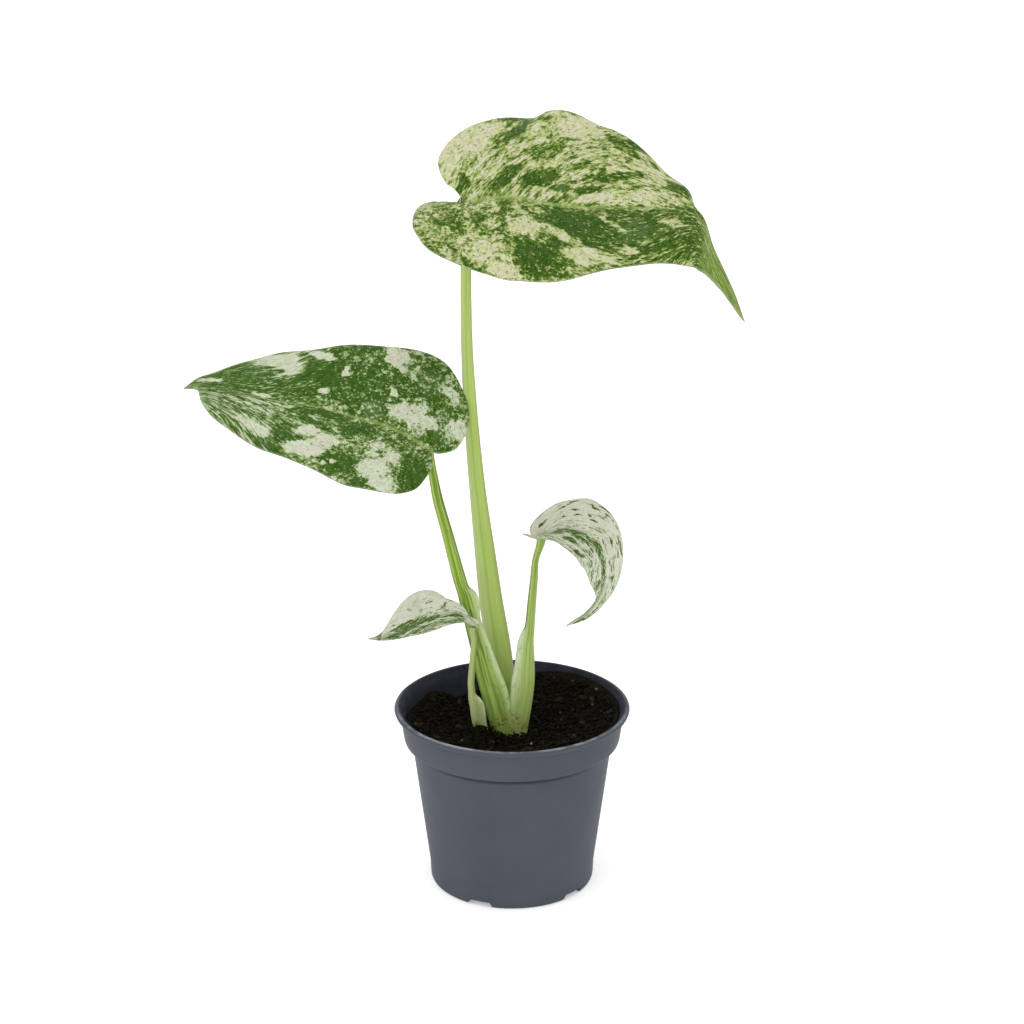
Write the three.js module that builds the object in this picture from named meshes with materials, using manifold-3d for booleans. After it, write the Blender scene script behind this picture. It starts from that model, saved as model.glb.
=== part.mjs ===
// A young variegated swiss cheese plant in its round nursery pot, in millimetres, +Z up.
// The origin is the middle of the pot's flat base, and -Y is the side that the leaves face.
import * as THREE from "three";
import { mergeVertices } from "three/addons/utils/BufferGeometryUtils.js";
import Module from "manifold-3d";

const wasm = await Module();
wasm.setup();

// Driving dimensions of the pot
const POT_HEIGHT = 47.6;
const RIM_RADIUS = 30;
const LIP_WIDTH = 1.3;
const COLLAR_BOTTOM = 38.4;
const BASE_RADIUS = 20.3;
const WALL = 0.8;
const FLOOR = 1.8;
const POT_SIDES = 60;

const DRAIN_HOLES = 6;
const DRAIN_HOLE_RADIUS = 2;
const DRAIN_CIRCLE_RADIUS = 13;
const FOOT_NOTCHES = 5;
const FOOT_NOTCH_WIDTH = 6;
const FOOT_NOTCH_HEIGHT = 1.2;
const FIRST_NOTCH_ANGLE = -114;

// Driving dimensions of what stands in the pot
const CLEARANCE = 0.3;
const SOIL_CENTRE_HEIGHT = 41.2;
const STEM_RADIUS = 4.6;
const STEM_BOTTOM = 22;
const STEM_TOP = 34.6;
const STEM_CENTRE = [-1.2, -1.4];

// Driving dimensions shared by the leaves
const BLADE_THICKNESS = 0.7;
const MIDRIB_DEPTH = 0.5;
const TIP_HALF_WIDTH = 0.25;
const VEIN_BOW = 0.09;
const BLADE_COLUMNS = [0, 0.09, 0.3, 0.54, 0.78, 1];

// How far the soil rises from its centre to the pot's wall, every 30 degrees round from -X through -Y
const SOIL_RISE = [[2.8], [3.6], [4], [4], [4.2], [4.6], [5], [5.4], [5.4], [2.6], [-1.1], [1.4], [2.8]];
// Mound of soil at the foot of the lowest stalk: x, y, height, radius
const SOIL_MOUND = [-8.8, -8.2, 3.6, 4.6];

// Each stalk runs from its leaf down to the stem: x, y, z, half width, half depth, sheath wing.
// The wing stands out of the section towards wingAngle, measured from +X.
const STALKS = {
  petiole_top: {
    wingAngle: 0,
    sides: 16,
    rows: [
      [-11.5, -1.1, 179.1, 1.5, 1.4, 0],
      [-11.5, -0.6, 174.5, 1.35, 1.3, 0],
      [-11.2, 1, 163.1, 1.3, 1.25, 0],
      [-11.2, 1.8, 154, 1.35, 1.3, 0],
      [-11, 2.3, 141.2, 1.45, 1.4, 0],
      [-10.5, 2.6, 128.2, 1.6, 1.5, 0],
      [-9.7, 2.6, 115.2, 1.8, 1.7, 0],
      [-8.5, 2.4, 102.1, 2.05, 1.9, 0],
      [-6.8, 2.1, 86.2, 2.6, 2.3, 0],
      [-5.6, 1.8, 75.5, 2.85, 2.5, 0],
      [-3.8, 1.4, 62, 3.1, 2.7, 0],
      [-2.6, 1, 49.8, 3, 2.6, 0],
      [-1.5, 0.8, 39, 2.5, 2.3, 0],
      [-1.2, 0.8, 35.1, 2.3, 2.1, 0],
    ],
  },
  petiole_left: {
    wingAngle: -20,
    sides: 18,
    rows: [
      [-20.3, -13, 120.4, 1.25, 1.2, 0],
      [-19.7, -12.6, 117, 1.05, 1.05, 0],
      [-19.25, -12, 113.8, 1.1, 1.1, 0],
      [-18.15, -10.8, 106.9, 1.2, 1.15, 0],
      [-16.15, -9.5, 98.5, 1.35, 1.3, 0],
      [-14.25, -8.4, 90.2, 1.5, 1.4, 0],
      [-13.05, -7.5, 85, 1.6, 1.5, 0],
      [-12.35, -7.2, 82.4, 1.65, 1.5, 0.2],
      [-11.85, -7, 80.6, 1.7, 1.55, 1.6],
      [-11.15, -6.8, 77.5, 1.75, 1.6, 1.7],
      [-10.05, -6.4, 72.8, 1.9, 1.65, 0.7],
      [-8.15, -6.1, 65.1, 2.15, 1.75, 0.8],
      [-6.85, -5.8, 59, 2.3, 1.8, 1],
      [-5.55, -5.4, 53.4, 2.35, 1.8, 1],
      [-4.05, -4.7, 47.5, 2.1, 1.7, 0.5],
      [-2.55, -3.8, 40.7, 1.7, 1.5, 0],
      [-1.9, -3.4, 35.3, 1.5, 1.3, 0],
    ],
  },
  petiole_right: {
    wingAngle: 205,
    sides: 18,
    rows: [
      [7.4, -5.1, 95.1, 1.25, 1.15, 0],
      [6.9, -5, 92.6, 1, 0.95, 0],
      [5.85, -5, 88.9, 0.85, 0.85, 0],
      [5.35, -5, 83.6, 0.95, 0.9, 0],
      [4.85, -5, 78.2, 1.05, 1, 0],
      [4.35, -5, 71.8, 1.15, 1.1, 0.1],
      [4.15, -5, 69.8, 1.2, 1.1, 1],
      [3.75, -5, 66.8, 1.4, 1.25, 1.2],
      [3.55, -5, 62, 1.9, 1.5, 0.8],
      [3.35, -4.8, 56.4, 2.2, 1.7, 0.7],
      [2.75, -4.4, 50.7, 2.3, 1.75, 0.5],
      [2.05, -3.8, 44.9, 2, 1.6, 0.2],
      [1.15, -3.3, 39.7, 1.4, 1.3, 0],
      [1.1, -3, 35.2, 1.3, 1.2, 0],
    ],
  },
  petiole_low: {
    wingAngle: -15,
    sides: 16,
    rows: [
      [-9.65, -10.45, 73.3, 0.85, 0.85, 0],
      [-9.7, -10.4, 72, 0.85, 0.85, 0],
      [-9.4, -10.3, 69.6, 0.8, 0.8, 0],
      [-10, -10, 64.1, 0.8, 0.8, 0],
      [-10.5, -9.5, 58.1, 0.85, 0.8, 0],
      [-10.3, -9.1, 55, 0.9, 0.85, 0],
      [-10.1, -8.9, 53.2, 0.9, 0.85, 1.4],
      [-9.7, -8.6, 50.7, 0.95, 0.85, 2.4],
      [-8.8, -7.8, 45.1, 1, 0.9, 2],
      [-6.1, -5.9, 39, 1, 0.9, 0.3],
      [-4.6, -3.9, 35.7, 0.9, 0.9, 0],
    ],
  },
};
const WING_SPREAD = 24;

// Each leaf has two tables.
// midrib, in even steps from stalk to tip: x, y, z, then the heading and slope of the right half,
// and how far the right and the left half are folded up, in degrees.
// veins, from the notch at the stalk to near the tip: where the vein leaves the midrib, then where
// it meets the right and the left margin, as length along the leaf, width across it and wave up.
const LEAVES = {
  blade_top: {
    steps: 3,
    curl: { right: [-0.01, -0.015], left: [-0.006, -0.006] },
    midrib: [
      [-12, -1, 179, -90, -21, 5, 10],
      [0, -3, 180.5, -90, -21, 4, 12],
      [12, -5, 179, -90, -21, 3, 14],
      [24, -7, 179, -90, -21, 3, 12],
      [35, -9, 179.5, -90, -22, 0, 8],
      [44, -12, 178, -90, -24, -4, 3],
      [48, -17, 168.5, -92, -30, -8, 0],
      [55, -20, 155, -95, -35, -8, 0],
    ],
    veins: [
      [0, -0.4, 0.5, 0, -0.4, 0.5, 0],
      [0.3, -2, 0.5, 0, -1.5, 3.5, 0],
      [0.6, -5, -2, 0, -4, 7, 0],
      [0.9, -8.5, -1.5, 0, -5.5, 12, 0],
      [1.3, -11.5, 3.5, 0.3, -5, 17.5, 0.5],
      [1.9, -11, 11.5, 0.8, -2.5, 22.5, 0.8],
      [2.8, -7.5, 18.5, 0.8, 2, 27.5, 0.5],
      [5, 0, 23.5, -0.5, 8.5, 31, -0.8],
      [9, 9, 28, -1, 16.5, 32, -1.5],
      [15, 19.5, 28, 0.5, 24.5, 32, 2.2],
      [22, 30, 24, 1, 33.5, 29.5, 0.5],
      [30, 40, 20.5, 0, 43, 22, 1],
      [38, 49, 18, -0.5, 51, 14, -0.5],
      [45, 57, 17, 0, 56.5, 7, 0.8],
      [52, 64.5, 13.2, 0, 60, 3, 0.2],
      [59, 71, 8.3, 0, 66.5, 3, 0],
      [66, 76, 4.1, 0, 73.5, 3.4, 0],
      [76, 80.5, 1.5, 0, 79.5, 2, 0],
    ],
  },
  blade_left: {
    steps: 3,
    curl: { right: [-0.008, -0.008], left: [-0.008, -0.008] },
    midrib: [
      [-20, -13, 120.5, 70, 21, 14, 9],
      [-28.5, -11, 125, 71, 22, 13, 9],
      [-38, -8, 127, 72, 23, 12, 8],
      [-48.5, -5, 129, 73, 24, 11, 7],
      [-59, -2, 129.5, 74, 25, 10, 6],
      [-70, 1, 131, 75, 26, 8, 5],
      [-81, 4, 130.5, 76, 28, 4, 4],
    ],
    veins: [
      [0, -0.4, 0.5, 0, -0.4, 0.5, 0],
      [0.3, -2.5, 0.5, 0, -1.5, 2, 0],
      [0.6, -5.5, 4, 0, -2.5, 5.5, 0],
      [1, -6, 9.5, 0, -2.5, 9.5, 0],
      [1.6, -4.5, 15, 0.3, -1.5, 15.5, 0],
      [2.6, -0.5, 20, 0.6, 2, 20, 0.3],
      [4.5, 6.5, 26, 0, 8.5, 23.5, 0.6],
      [8, 14, 27, -0.6, 15.5, 24, -0.3],
      [13, 21.5, 24, 0.6, 24, 21.5, -0.6],
      [20, 29.5, 21.5, 0.5, 31.5, 20.5, 0.4],
      [28, 37, 19, -0.6, 40, 17.5, 0.2],
      [37, 45, 16, -0.3, 48, 14, -0.3],
      [46, 51.5, 10, 0.4, 54, 10, 0],
      [54, 58, 6, 0, 58.5, 5, 0],
      [60.5, 62.5, 3, 0, 61.8, 0.4, 0],
    ],
  },
  blade_right: {
    steps: 2,
    curl: { right: [0, 0], left: [-0.01, -0.01] },
    midrib: [
      [7, -5, 95, -92, -10, 26, 20],
      [12.5, -6, 97.5, -98, -20, 8, 12],
      [17.5, -7, 97, -106, -24, 4, 10],
      [21.5, -8, 94.5, -116, -20, 4, 10],
      [23, -9, 90.5, -126, -10, 4, 8],
      [23, -10, 85.5, -133, 5, 4, 6],
      [21.5, -11, 81, -138, 20, 4, 5],
      [18, -12, 77.5, -140, 38, 4, 4],
      [13.5, -13, 74.5, -142, 45, 4, 4],
    ],
    veins: [
      [0, -0.4, 0.5, 0, -0.4, 0.5, 0],
      [0.2, -1.7, 0.5, 1.1, -1.5, 1, 0],
      [0.5, -3.2, 2.2, 2.3, -2.5, 2.5, 0],
      [1, -2.2, 4.3, 1.9, -2, 5, 0],
      [2, 0.7, 5.3, 0.8, 0.5, 7.5, 0],
      [4, 4, 5.5, 0, 3, 9, 0],
      [7, 6.5, 7, 0, 6, 9.5, 0],
      [11, 10.5, 8.5, 0, 9.5, 10.5, 0],
      [16, 15.5, 10, 0, 13, 9.5, 0],
      [21, 25, 6, 0, 17.5, 8, 0],
      [26, 31, 1.2, 0, 22, 6.5, 0],
      [31, 34.5, 1, 0, 26.5, 4.5, 0],
      [35.5, 37.5, 0.8, 0, 32.5, 2, 0],
      [39, 39.5, 0.6, 0, 38, 1, 0],
    ],
  },
  blade_low: {
    steps: 2,
    curl: { right: [0, 0], left: [0, 0] },
    midrib: [
      [-9.5, -10.5, 74, 78, 20, 50, 36],
      [-13, -11.5, 77, 78, 20, 32, 18],
      [-17.5, -12.5, 77.5, 79, 20, 22, 11],
      [-22.5, -13.5, 76, 80, 20, 18, 10],
      [-27, -14.5, 74, 80, 20, 16, 10],
      [-31.5, -15.5, 72.5, 80, 20, 12, 8],
      [-36, -16.5, 72.5, 80, 20, 5, 5],
    ],
    veins: [
      [0, -0.4, 0.5, 0, -0.4, 0.5, 0],
      [0.3, -1.8, 0.8, 0, -1.4, 1.4, 0],
      [0.6, -1.4, 1.6, 0, -0.6, 2.4, 0],
      [1.2, 0.8, 1.2, 0, 0.8, 1.8, 0],
      [2, 2.6, 0.6, 0, 2.3, 1.2, 0],
      [3, 5, 2.2, 0, 3.5, 2.4, 0],
      [5, 9.5, 4.5, 0, 6.5, 4.9, 0],
      [8, 12, 7.5, 0, 9.5, 7.3, 0],
      [12, 15.5, 9.5, 0, 12.5, 7.5, 0],
      [16.5, 19.5, 9.5, 0, 17.5, 5, 0],
      [21, 22.5, 6.5, 0, 22.5, 2.2, 0],
      [25.5, 25.5, 2, 0, 26, 0.8, 0],
    ],
  },
};

// Smooth curve through rows of numbers, with the position counted in rows
function between(rows, position) {
  const last = rows.length - 1;
  const index = Math.min(Math.max(Math.floor(position), 0), last - 1);
  const w = position - index;
  return rows[0].map((_, column) => {
    const at = (row) => rows[row][column];
    const b = at(index);
    const c = at(index + 1);
    const a = index > 0 ? at(index - 1) : 2 * b - c;
    const d = index + 2 <= last ? at(index + 2) : 2 * c - b;
    const leave = (c - a) / 2;
    const arrive = (d - b) / 2;
    return b + w * (leave + w * (3 * (c - b) - 2 * leave - arrive + w * (2 * (b - c) + leave + arrive)));
  });
}

function material(color, roughness) {
  return new THREE.MeshStandardMaterial({ color, roughness, metalness: 0 });
}

// Closed body of an indexed mesh, and back again
function solid(geometry) {
  const bare = geometry.clone();
  bare.deleteAttribute("normal");
  bare.deleteAttribute("uv");
  const merged = mergeVertices(bare, 1e-4);
  const vertProperties = new Float32Array(merged.attributes.position.array);
  const triVerts = new Uint32Array(merged.index.array);
  return new wasm.Manifold(new wasm.Mesh({ numProp: 3, vertProperties, triVerts }));
}

function geometryOf(body) {
  const mesh = body.getMesh();
  const geometry = new THREE.BufferGeometry();
  geometry.setAttribute("position", new THREE.BufferAttribute(mesh.vertProperties, 3));
  geometry.setIndex(new THREE.BufferAttribute(mesh.triVerts, 1));
  return geometry;
}

// What is left of a body after a cut, without slivers and crumbs
function mainPiece(body) {
  const pieces = body.simplify(0.004).decompose();
  return pieces.sort((a, b) => b.volume() - a.volume())[0];
}

// Body between rings of the same number of points, closed with a flat fan at both ends
function loft(rings) {
  const sides = rings[0].length;
  const positions = rings.flat().flatMap((point) => point.toArray());
  const triangles = [];
  for (let ring = 0; ring + 1 < rings.length; ring++) {
    for (let side = 0; side < sides; side++) {
      const a = ring * sides + side;
      const b = ring * sides + ((side + 1) % sides);
      triangles.push(a, b, b + sides, a, b + sides, a + sides);
    }
  }
  for (const [ring, turn] of [[0, 1], [rings.length - 1, 0]]) {
    const centre = rings[ring].reduce((sum, point) => sum.clone().add(point)).multiplyScalar(1 / sides);
    const middle = positions.length / 3;
    positions.push(...centre.toArray());
    for (let side = 0; side < sides; side++) {
      const a = ring * sides + side;
      const b = ring * sides + ((side + 1) % sides);
      triangles.push(...(turn ? [middle, b, a] : [middle, a, b]));
    }
  }
  const geometry = new THREE.BufferGeometry();
  geometry.setAttribute("position", new THREE.BufferAttribute(new Float32Array(positions), 3));
  geometry.setIndex(triangles);
  return geometry;
}

// Pot: one turned profile, with drain holes and notches cut through its foot
function makePot() {
  const inner = RIM_RADIUS - LIP_WIDTH;
  const profile = [
    [0, 0],
    [9, 0],
    [9.6, 0.8],
    [16.6, 0.8],
    [17.2, 0],
    [BASE_RADIUS, 0],
    [20.9, 0.9],
    [21.15, 4.8],
    [25.1, 36.6],
    [25.5, 37.9],
    [26.2, COLLAR_BOTTOM],
    [27.1, COLLAR_BOTTOM],
    [28.3, 45.9],
    [28.9, 46.2],
    [29.8, 46.3],
    [RIM_RADIUS, 46.9],
    [29.8, 47.4],
    [29.3, POT_HEIGHT],
    [inner + 0.15, 47.5],
    [inner - 0.3, 47.1],
    [28.3 - WALL, 46],
    [26.3, 39.3],
    [25.1, 38.6],
    [24.5, 37],
    [21.15 - WALL, 4.8],
    [19.9, 2.3],
    [19.3, FLOOR],
    [0, FLOOR],
  ].map(([radius, height]) => new THREE.Vector2(radius, height));
  const turned = new THREE.LatheGeometry(profile, POT_SIDES).rotateX(Math.PI / 2);
  let pot = solid(turned);
  for (let hole = 0; hole < DRAIN_HOLES; hole++) {
    const angle = (hole / DRAIN_HOLES) * 2 * Math.PI;
    const drill = new THREE.CylinderGeometry(DRAIN_HOLE_RADIUS, DRAIN_HOLE_RADIUS, 6, 12).rotateX(Math.PI / 2);
    drill.translate(DRAIN_CIRCLE_RADIUS * Math.cos(angle), DRAIN_CIRCLE_RADIUS * Math.sin(angle), FLOOR / 2);
    pot = pot.subtract(solid(drill));
  }
  for (let notch = 0; notch < FOOT_NOTCHES; notch++) {
    const angle = THREE.MathUtils.degToRad(FIRST_NOTCH_ANGLE) + (notch / FOOT_NOTCHES) * 2 * Math.PI;
    const cutter = new THREE.BoxGeometry(8, FOOT_NOTCH_WIDTH, 2 * FOOT_NOTCH_HEIGHT);
    cutter.translate(BASE_RADIUS, 0, 0).rotateZ(angle);
    pot = pot.subtract(solid(cutter));
  }
  return pot;
}

// Height of the soil's lumpy top, which rises from the stalks to the wall
function soilHeight(x, y) {
  const [moundX, moundY, rise, radius] = SOIL_MOUND;
  const share = Math.min(Math.hypot(x, y) / 26.5, 1);
  const round = ((THREE.MathUtils.radToDeg(Math.atan2(y, x)) + 180) / 360) * (SOIL_RISE.length - 1);
  const mound = Math.hypot(x - moundX, y - moundY) / radius;
  const lumps = Math.sin(0.9 * x + 1.3 * y) * Math.sin(1.5 * x - 0.7 * y) + 0.6 * Math.sin(2.1 * y + 0.4 * x);
  const toWall = between(SOIL_RISE, round)[0] * share ** 1.8;
  return SOIL_CENTRE_HEIGHT + toWall + rise * Math.exp(-mound * mound) + 0.4 * lumps * (1 - share ** 6);
}

// Soil: fills the pot a clearance off its wall, with its top surface shaped by soilHeight
function makeSoil() {
  const collar = (height) => 26.3 + (height - 39.3) * 0.18 - CLEARANCE;
  const wall = (height) => 20.35 + (height - 4.8) * 0.129 - CLEARANCE;
  const topRings = [1, 0.93, 0.84, 0.74, 0.63, 0.51, 0.39, 0.27, 0.15, 0];
  const profile = [
    [0, FLOOR + CLEARANCE],
    [18.9, FLOOR + CLEARANCE],
    [wall(4.8), 4.9],
    [wall(37), 37],
    [wall(37) + 0.5, 38.6],
    ...topRings.map((share) => [26.5 * share, 100]),
  ].map(([radius, height]) => new THREE.Vector2(radius, height));
  const geometry = new THREE.LatheGeometry(profile, 40).rotateX(Math.PI / 2);
  const position = geometry.attributes.position;
  for (let index = 0; index < position.count; index++) {
    if (position.getZ(index) < 99) continue;
    const [x, y] = [position.getX(index), position.getY(index)];
    const share = Math.hypot(x, y) / 26.5;
    const height = soilHeight(x, y);
    const outwards = share > 0 ? 1 + (collar(height) / 26.5 - 1) * share : 1;
    position.setXYZ(index, x * outwards, y * outwards, height);
  }
  return solid(geometry);
}

// Stem: the short thick stub that the stalks grow from
function makeStem() {
  const profile = [
    [0, STEM_BOTTOM],
    [STEM_RADIUS * 0.6, STEM_BOTTOM],
    [STEM_RADIUS * 0.9, STEM_BOTTOM + 2],
    [STEM_RADIUS, STEM_BOTTOM + 6],
    [STEM_RADIUS, STEM_TOP],
    [0, STEM_TOP],
  ].map(([radius, height]) => new THREE.Vector2(radius, height));
  const geometry = new THREE.LatheGeometry(profile, 24).rotateX(Math.PI / 2);
  return geometry.translate(STEM_CENTRE[0], STEM_CENTRE[1], 0);
}

// Leaf stalk: a tapering rod whose section grows a wing where its sheath opens
function makeStalk({ rows, wingAngle, sides }, grow = 0) {
  const steps = (rows.length - 1) * 2;
  const rings = [];
  for (let step = 0; step <= steps; step++) {
    const position = step / 2;
    const [x, y, z, halfWidth, halfDepth, wing] = between(rows, position);
    const centre = new THREE.Vector3(x, y, z);
    const ahead = new THREE.Vector3(...between(rows, Math.min(position + 0.1, rows.length - 1)).slice(0, 3));
    const behind = new THREE.Vector3(...between(rows, Math.max(position - 0.1, 0)).slice(0, 3));
    const down = ahead.sub(behind).normalize();
    if (step === 0) centre.addScaledVector(down, -grow);
    if (step === steps) centre.addScaledVector(down, grow);
    const right = new THREE.Vector3(1, 0, 0).addScaledVector(down, -down.x).normalize();
    const back = new THREE.Vector3().crossVectors(right, down);
    const ring = [];
    for (let side = 0; side < sides; side++) {
      const angle = (side / sides) * 2 * Math.PI;
      const ellipse = 1 / Math.hypot(Math.cos(angle) / halfWidth, Math.sin(angle) / halfDepth);
      const turn = (THREE.MathUtils.radToDeg(angle) - wingAngle + 540) % 360 - 180;
      const radius = ellipse + Math.max(wing, 0) * Math.exp(-((turn / WING_SPREAD) ** 2)) + grow;
      ring.push(
        centre.clone()
          .addScaledVector(right, radius * Math.cos(angle))
          .addScaledVector(back, radius * Math.sin(angle)),
      );
    }
    rings.push(ring);
  }
  return loft(rings.map((ring) => ring.reverse()));
}

// Length of a leaf's midrib
function lengthOf(midrib) {
  const pieces = 200;
  let length = 0;
  let before = new THREE.Vector3(...midrib[0].slice(0, 3));
  for (let piece = 1; piece <= pieces; piece++) {
    const point = new THREE.Vector3(...between(midrib, (piece / pieces) * (midrib.length - 1)).slice(0, 3));
    length += point.distanceTo(before);
    before = point;
  }
  return length;
}

// Place and upward normal of a point of a blade, given on its flat pattern.
// side is 1 for the right half and -1 for the left half.
function bladePoint(leaf, length, side, along, across, lift) {
  const last = leaf.midrib.length - 1;
  const share = Math.min(Math.max(along / length, 0), 1);
  const [x, y, z, heading, slope, foldRight, foldLeft] = between(leaf.midrib, share * last);
  const ahead = new THREE.Vector3(...between(leaf.midrib, share * last + 0.001).slice(0, 3));
  const point = new THREE.Vector3(x, y, z);
  const forward = ahead.sub(point).normalize();
  point.addScaledVector(forward, Math.min(along, 0));
  const turn = THREE.MathUtils.degToRad(heading);
  const tilt = THREE.MathUtils.degToRad(slope);
  const right = new THREE.Vector3(Math.cos(tilt) * Math.cos(turn), Math.cos(tilt) * Math.sin(turn), Math.sin(tilt));
  const up = new THREE.Vector3().crossVectors(right, forward).normalize();
  const fold = THREE.MathUtils.degToRad(side > 0 ? foldRight : foldLeft);
  const [curlBase, curlTip] = side > 0 ? leaf.curl.right : leaf.curl.left;
  const curl = curlBase + (curlTip - curlBase) * share || 1e-6;
  const angle = fold + curl * across;
  point.addScaledVector(right, (side * (Math.sin(angle) - Math.sin(fold))) / curl);
  point.addScaledVector(up, (Math.cos(fold) - Math.cos(angle)) / curl);
  const normal = up.clone().multiplyScalar(Math.cos(angle)).addScaledVector(right, -side * Math.sin(angle));
  return { point: point.addScaledVector(normal, lift), normal };
}

// Leaf blade: rows run along the veins and columns from margin to midrib to margin.
// Both faces are split into triangles alike, so that the thin blade never crosses itself.
function makeBlade(leaf, grow = 0) {
  const length = lengthOf(leaf.midrib);
  const tip = [length, length, TIP_HALF_WIDTH, 0, length, TIP_HALF_WIDTH, 0];
  const veins = [...leaf.veins, tip];
  const rowCount = (veins.length - 1) * leaf.steps + 1;
  const columns = [
    ...BLADE_COLUMNS.slice(1).reverse().map((share) => [1, share]),
    [1, 0],
    ...BLADE_COLUMNS.slice(1).map((share) => [-1, share]),
  ];
  const faces = [[], []];
  for (let row = 0; row < rowCount; row++) {
    const vein = between(veins, row / leaf.steps);
    for (const [side, share] of columns) {
      const [along, across, lift] = side > 0 ? vein.slice(1, 4) : vein.slice(4, 7);
      const bow = VEIN_BOW * across * Math.min(vein[0] / 10, 1) * 4 * share * (1 - share);
      const flatAlong = vein[0] + (along - vein[0]) * share - bow;
      const { point, normal } = bladePoint(leaf, length, side, flatAlong, across * share, lift * share * share);
      const half = BLADE_THICKNESS / 2 + grow;
      faces[0].push(point.clone().addScaledVector(normal, half));
      faces[1].push(point.addScaledVector(normal, -half - (share === 0 ? MIDRIB_DEPTH : 0)));
    }
  }
  const width = columns.length;
  const count = rowCount * width;
  const triangles = [];
  for (let row = 0; row + 1 < rowCount; row++) {
    for (let column = 0; column + 1 < width; column++) {
      const a = row * width + column;
      const [b, c, d] = [a + 1, a + width + 1, a + width];
      triangles.push(a, d, c, a, c, b);
      triangles.push(a + count, c + count, d + count, a + count, b + count, c + count);
    }
  }
  const edge = [];
  for (let column = 0; column < width - 1; column++) edge.push(column);
  for (let row = 0; row < rowCount - 1; row++) edge.push(row * width + width - 1);
  for (let column = width - 1; column > 0; column--) edge.push((rowCount - 1) * width + column);
  for (let row = rowCount - 1; row > 0; row--) edge.push(row * width);
  edge.forEach((a, index) => {
    const b = edge[(index + 1) % edge.length];
    triangles.push(a, b, b + count, a, b + count, a + count);
  });
  const positions = faces.flat().flatMap((point) => point.toArray());
  const geometry = new THREE.BufferGeometry();
  geometry.setAttribute("position", new THREE.BufferAttribute(new Float32Array(positions), 3));
  geometry.setIndex(triangles);
  return geometry;
}

const plasticGrey = material(0x585d68, 0.45);
const darkSoil = material(0x2a2018, 0.95);
const stemBrown = material(0x6f7a3c, 0.7);
const paleGreen = material(0xa3b862, 0.5);
const stripedGreen = material(0x86a04a, 0.5);
const greenCream = material(0xa9b980, 0.45);
const creamWhite = material(0xd9d8c2, 0.45);

const plant = new THREE.Group();

function addPiece(name, geometry, finish) {
  const mesh = new THREE.Mesh(geometry, finish);
  mesh.name = name;
  plant.add(mesh);
}

// The stem stands in a plain hole in the soil
const stemSpace = new THREE.CylinderGeometry(STEM_RADIUS + CLEARANCE, STEM_RADIUS + CLEARANCE, 14, 24);
stemSpace.rotateX(Math.PI / 2).translate(STEM_CENTRE[0], STEM_CENTRE[1], STEM_TOP + CLEARANCE - 7);
const stemHole = solid(stemSpace);

// Stalks stand on the stem and end under their blades, and are cut where a neighbour's sheath wraps them:
// the first in the list stays whole
const stalkOrder = ["petiole_low", "petiole_right", "petiole_left", "petiole_top"];
const stalkBodies = {};
const grownStalks = {};
for (const name of stalkOrder) {
  let body = solid(makeStalk(STALKS[name]));
  for (const neighbour of Object.values(grownStalks)) body = body.subtract(neighbour);
  for (const leaf of Object.values(LEAVES)) body = body.subtract(solid(makeBlade(leaf, CLEARANCE)));
  stalkBodies[name] = mainPiece(body);
  grownStalks[name] = solid(makeStalk(STALKS[name], CLEARANCE));
}

let soil = makeSoil().subtract(stemHole);
for (const grown of Object.values(grownStalks)) soil = soil.subtract(grown);
soil = mainPiece(soil);

addPiece("pot", geometryOf(makePot()), plasticGrey);
addPiece("soil", geometryOf(soil), darkSoil);
addPiece("stem", makeStem(), stemBrown);
addPiece("petiole_top", geometryOf(stalkBodies.petiole_top), paleGreen);
addPiece("petiole_left", geometryOf(stalkBodies.petiole_left), stripedGreen);
addPiece("petiole_right", geometryOf(stalkBodies.petiole_right), paleGreen);
addPiece("petiole_low", geometryOf(stalkBodies.petiole_low), paleGreen);
addPiece("blade_top", makeBlade(LEAVES.blade_top), greenCream);
addPiece("blade_left", makeBlade(LEAVES.blade_left), greenCream);
addPiece("blade_right", makeBlade(LEAVES.blade_right), creamWhite);
addPiece("blade_low", makeBlade(LEAVES.blade_low), creamWhite);

export default plant;
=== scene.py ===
"""A young variegated swiss cheese plant in its grey nursery pot, in metres, +Z up.

The origin is the middle of the pot's flat base and the leaves face -Y. Tables are in millimetres.
"""

import math
import random

import bmesh
import bpy
from mathutils import Matrix, Vector, noise


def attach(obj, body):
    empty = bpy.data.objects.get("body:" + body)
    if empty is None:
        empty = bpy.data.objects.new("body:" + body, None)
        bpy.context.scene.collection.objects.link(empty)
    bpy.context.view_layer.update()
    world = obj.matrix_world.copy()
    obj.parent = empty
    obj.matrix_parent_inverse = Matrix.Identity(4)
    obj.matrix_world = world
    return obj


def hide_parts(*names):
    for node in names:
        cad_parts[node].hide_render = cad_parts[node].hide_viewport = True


MM = 0.001
# Seed of the noise that makes the edges of the leaf marks wander
NOISE_SEED = 5
noise.seed_set(NOISE_SEED)

# Pot
POT_HEIGHT = 47.6
RIM_RADIUS = 30
WALL = 0.8
FLOOR = 1.8
BASE_RADIUS = 20.3
DRAIN_HOLES = 6
DRAIN_HOLE_RADIUS = 2
DRAIN_CIRCLE_RADIUS = 13
FOOT_NOTCHES = 5
FOOT_NOTCH_WIDTH = 6
FOOT_NOTCH_HEIGHT = 1.5
FOOT_RING_RADIUS = 16.8
FIRST_NOTCH_ANGLE = -114
# Inside of the pot's wall and of its collar: radius at a height, that height, and the slope outwards
WALL_INSIDE = [20.35, 4.8, 0.129]
COLLAR_INSIDE = [26.3, 39.3, 0.18]

# Soil
CLEARANCE = 0.3
SOIL_CENTRE_HEIGHT = 41.2
SOIL_RADIUS = 26.5
LUMP_HEIGHT = 0.4
CRUMB_REACH = 25.6
FIBRE_REACH = 24
# Middle of the stalks' feet
FEET = [-1.2, -2.2]

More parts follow.
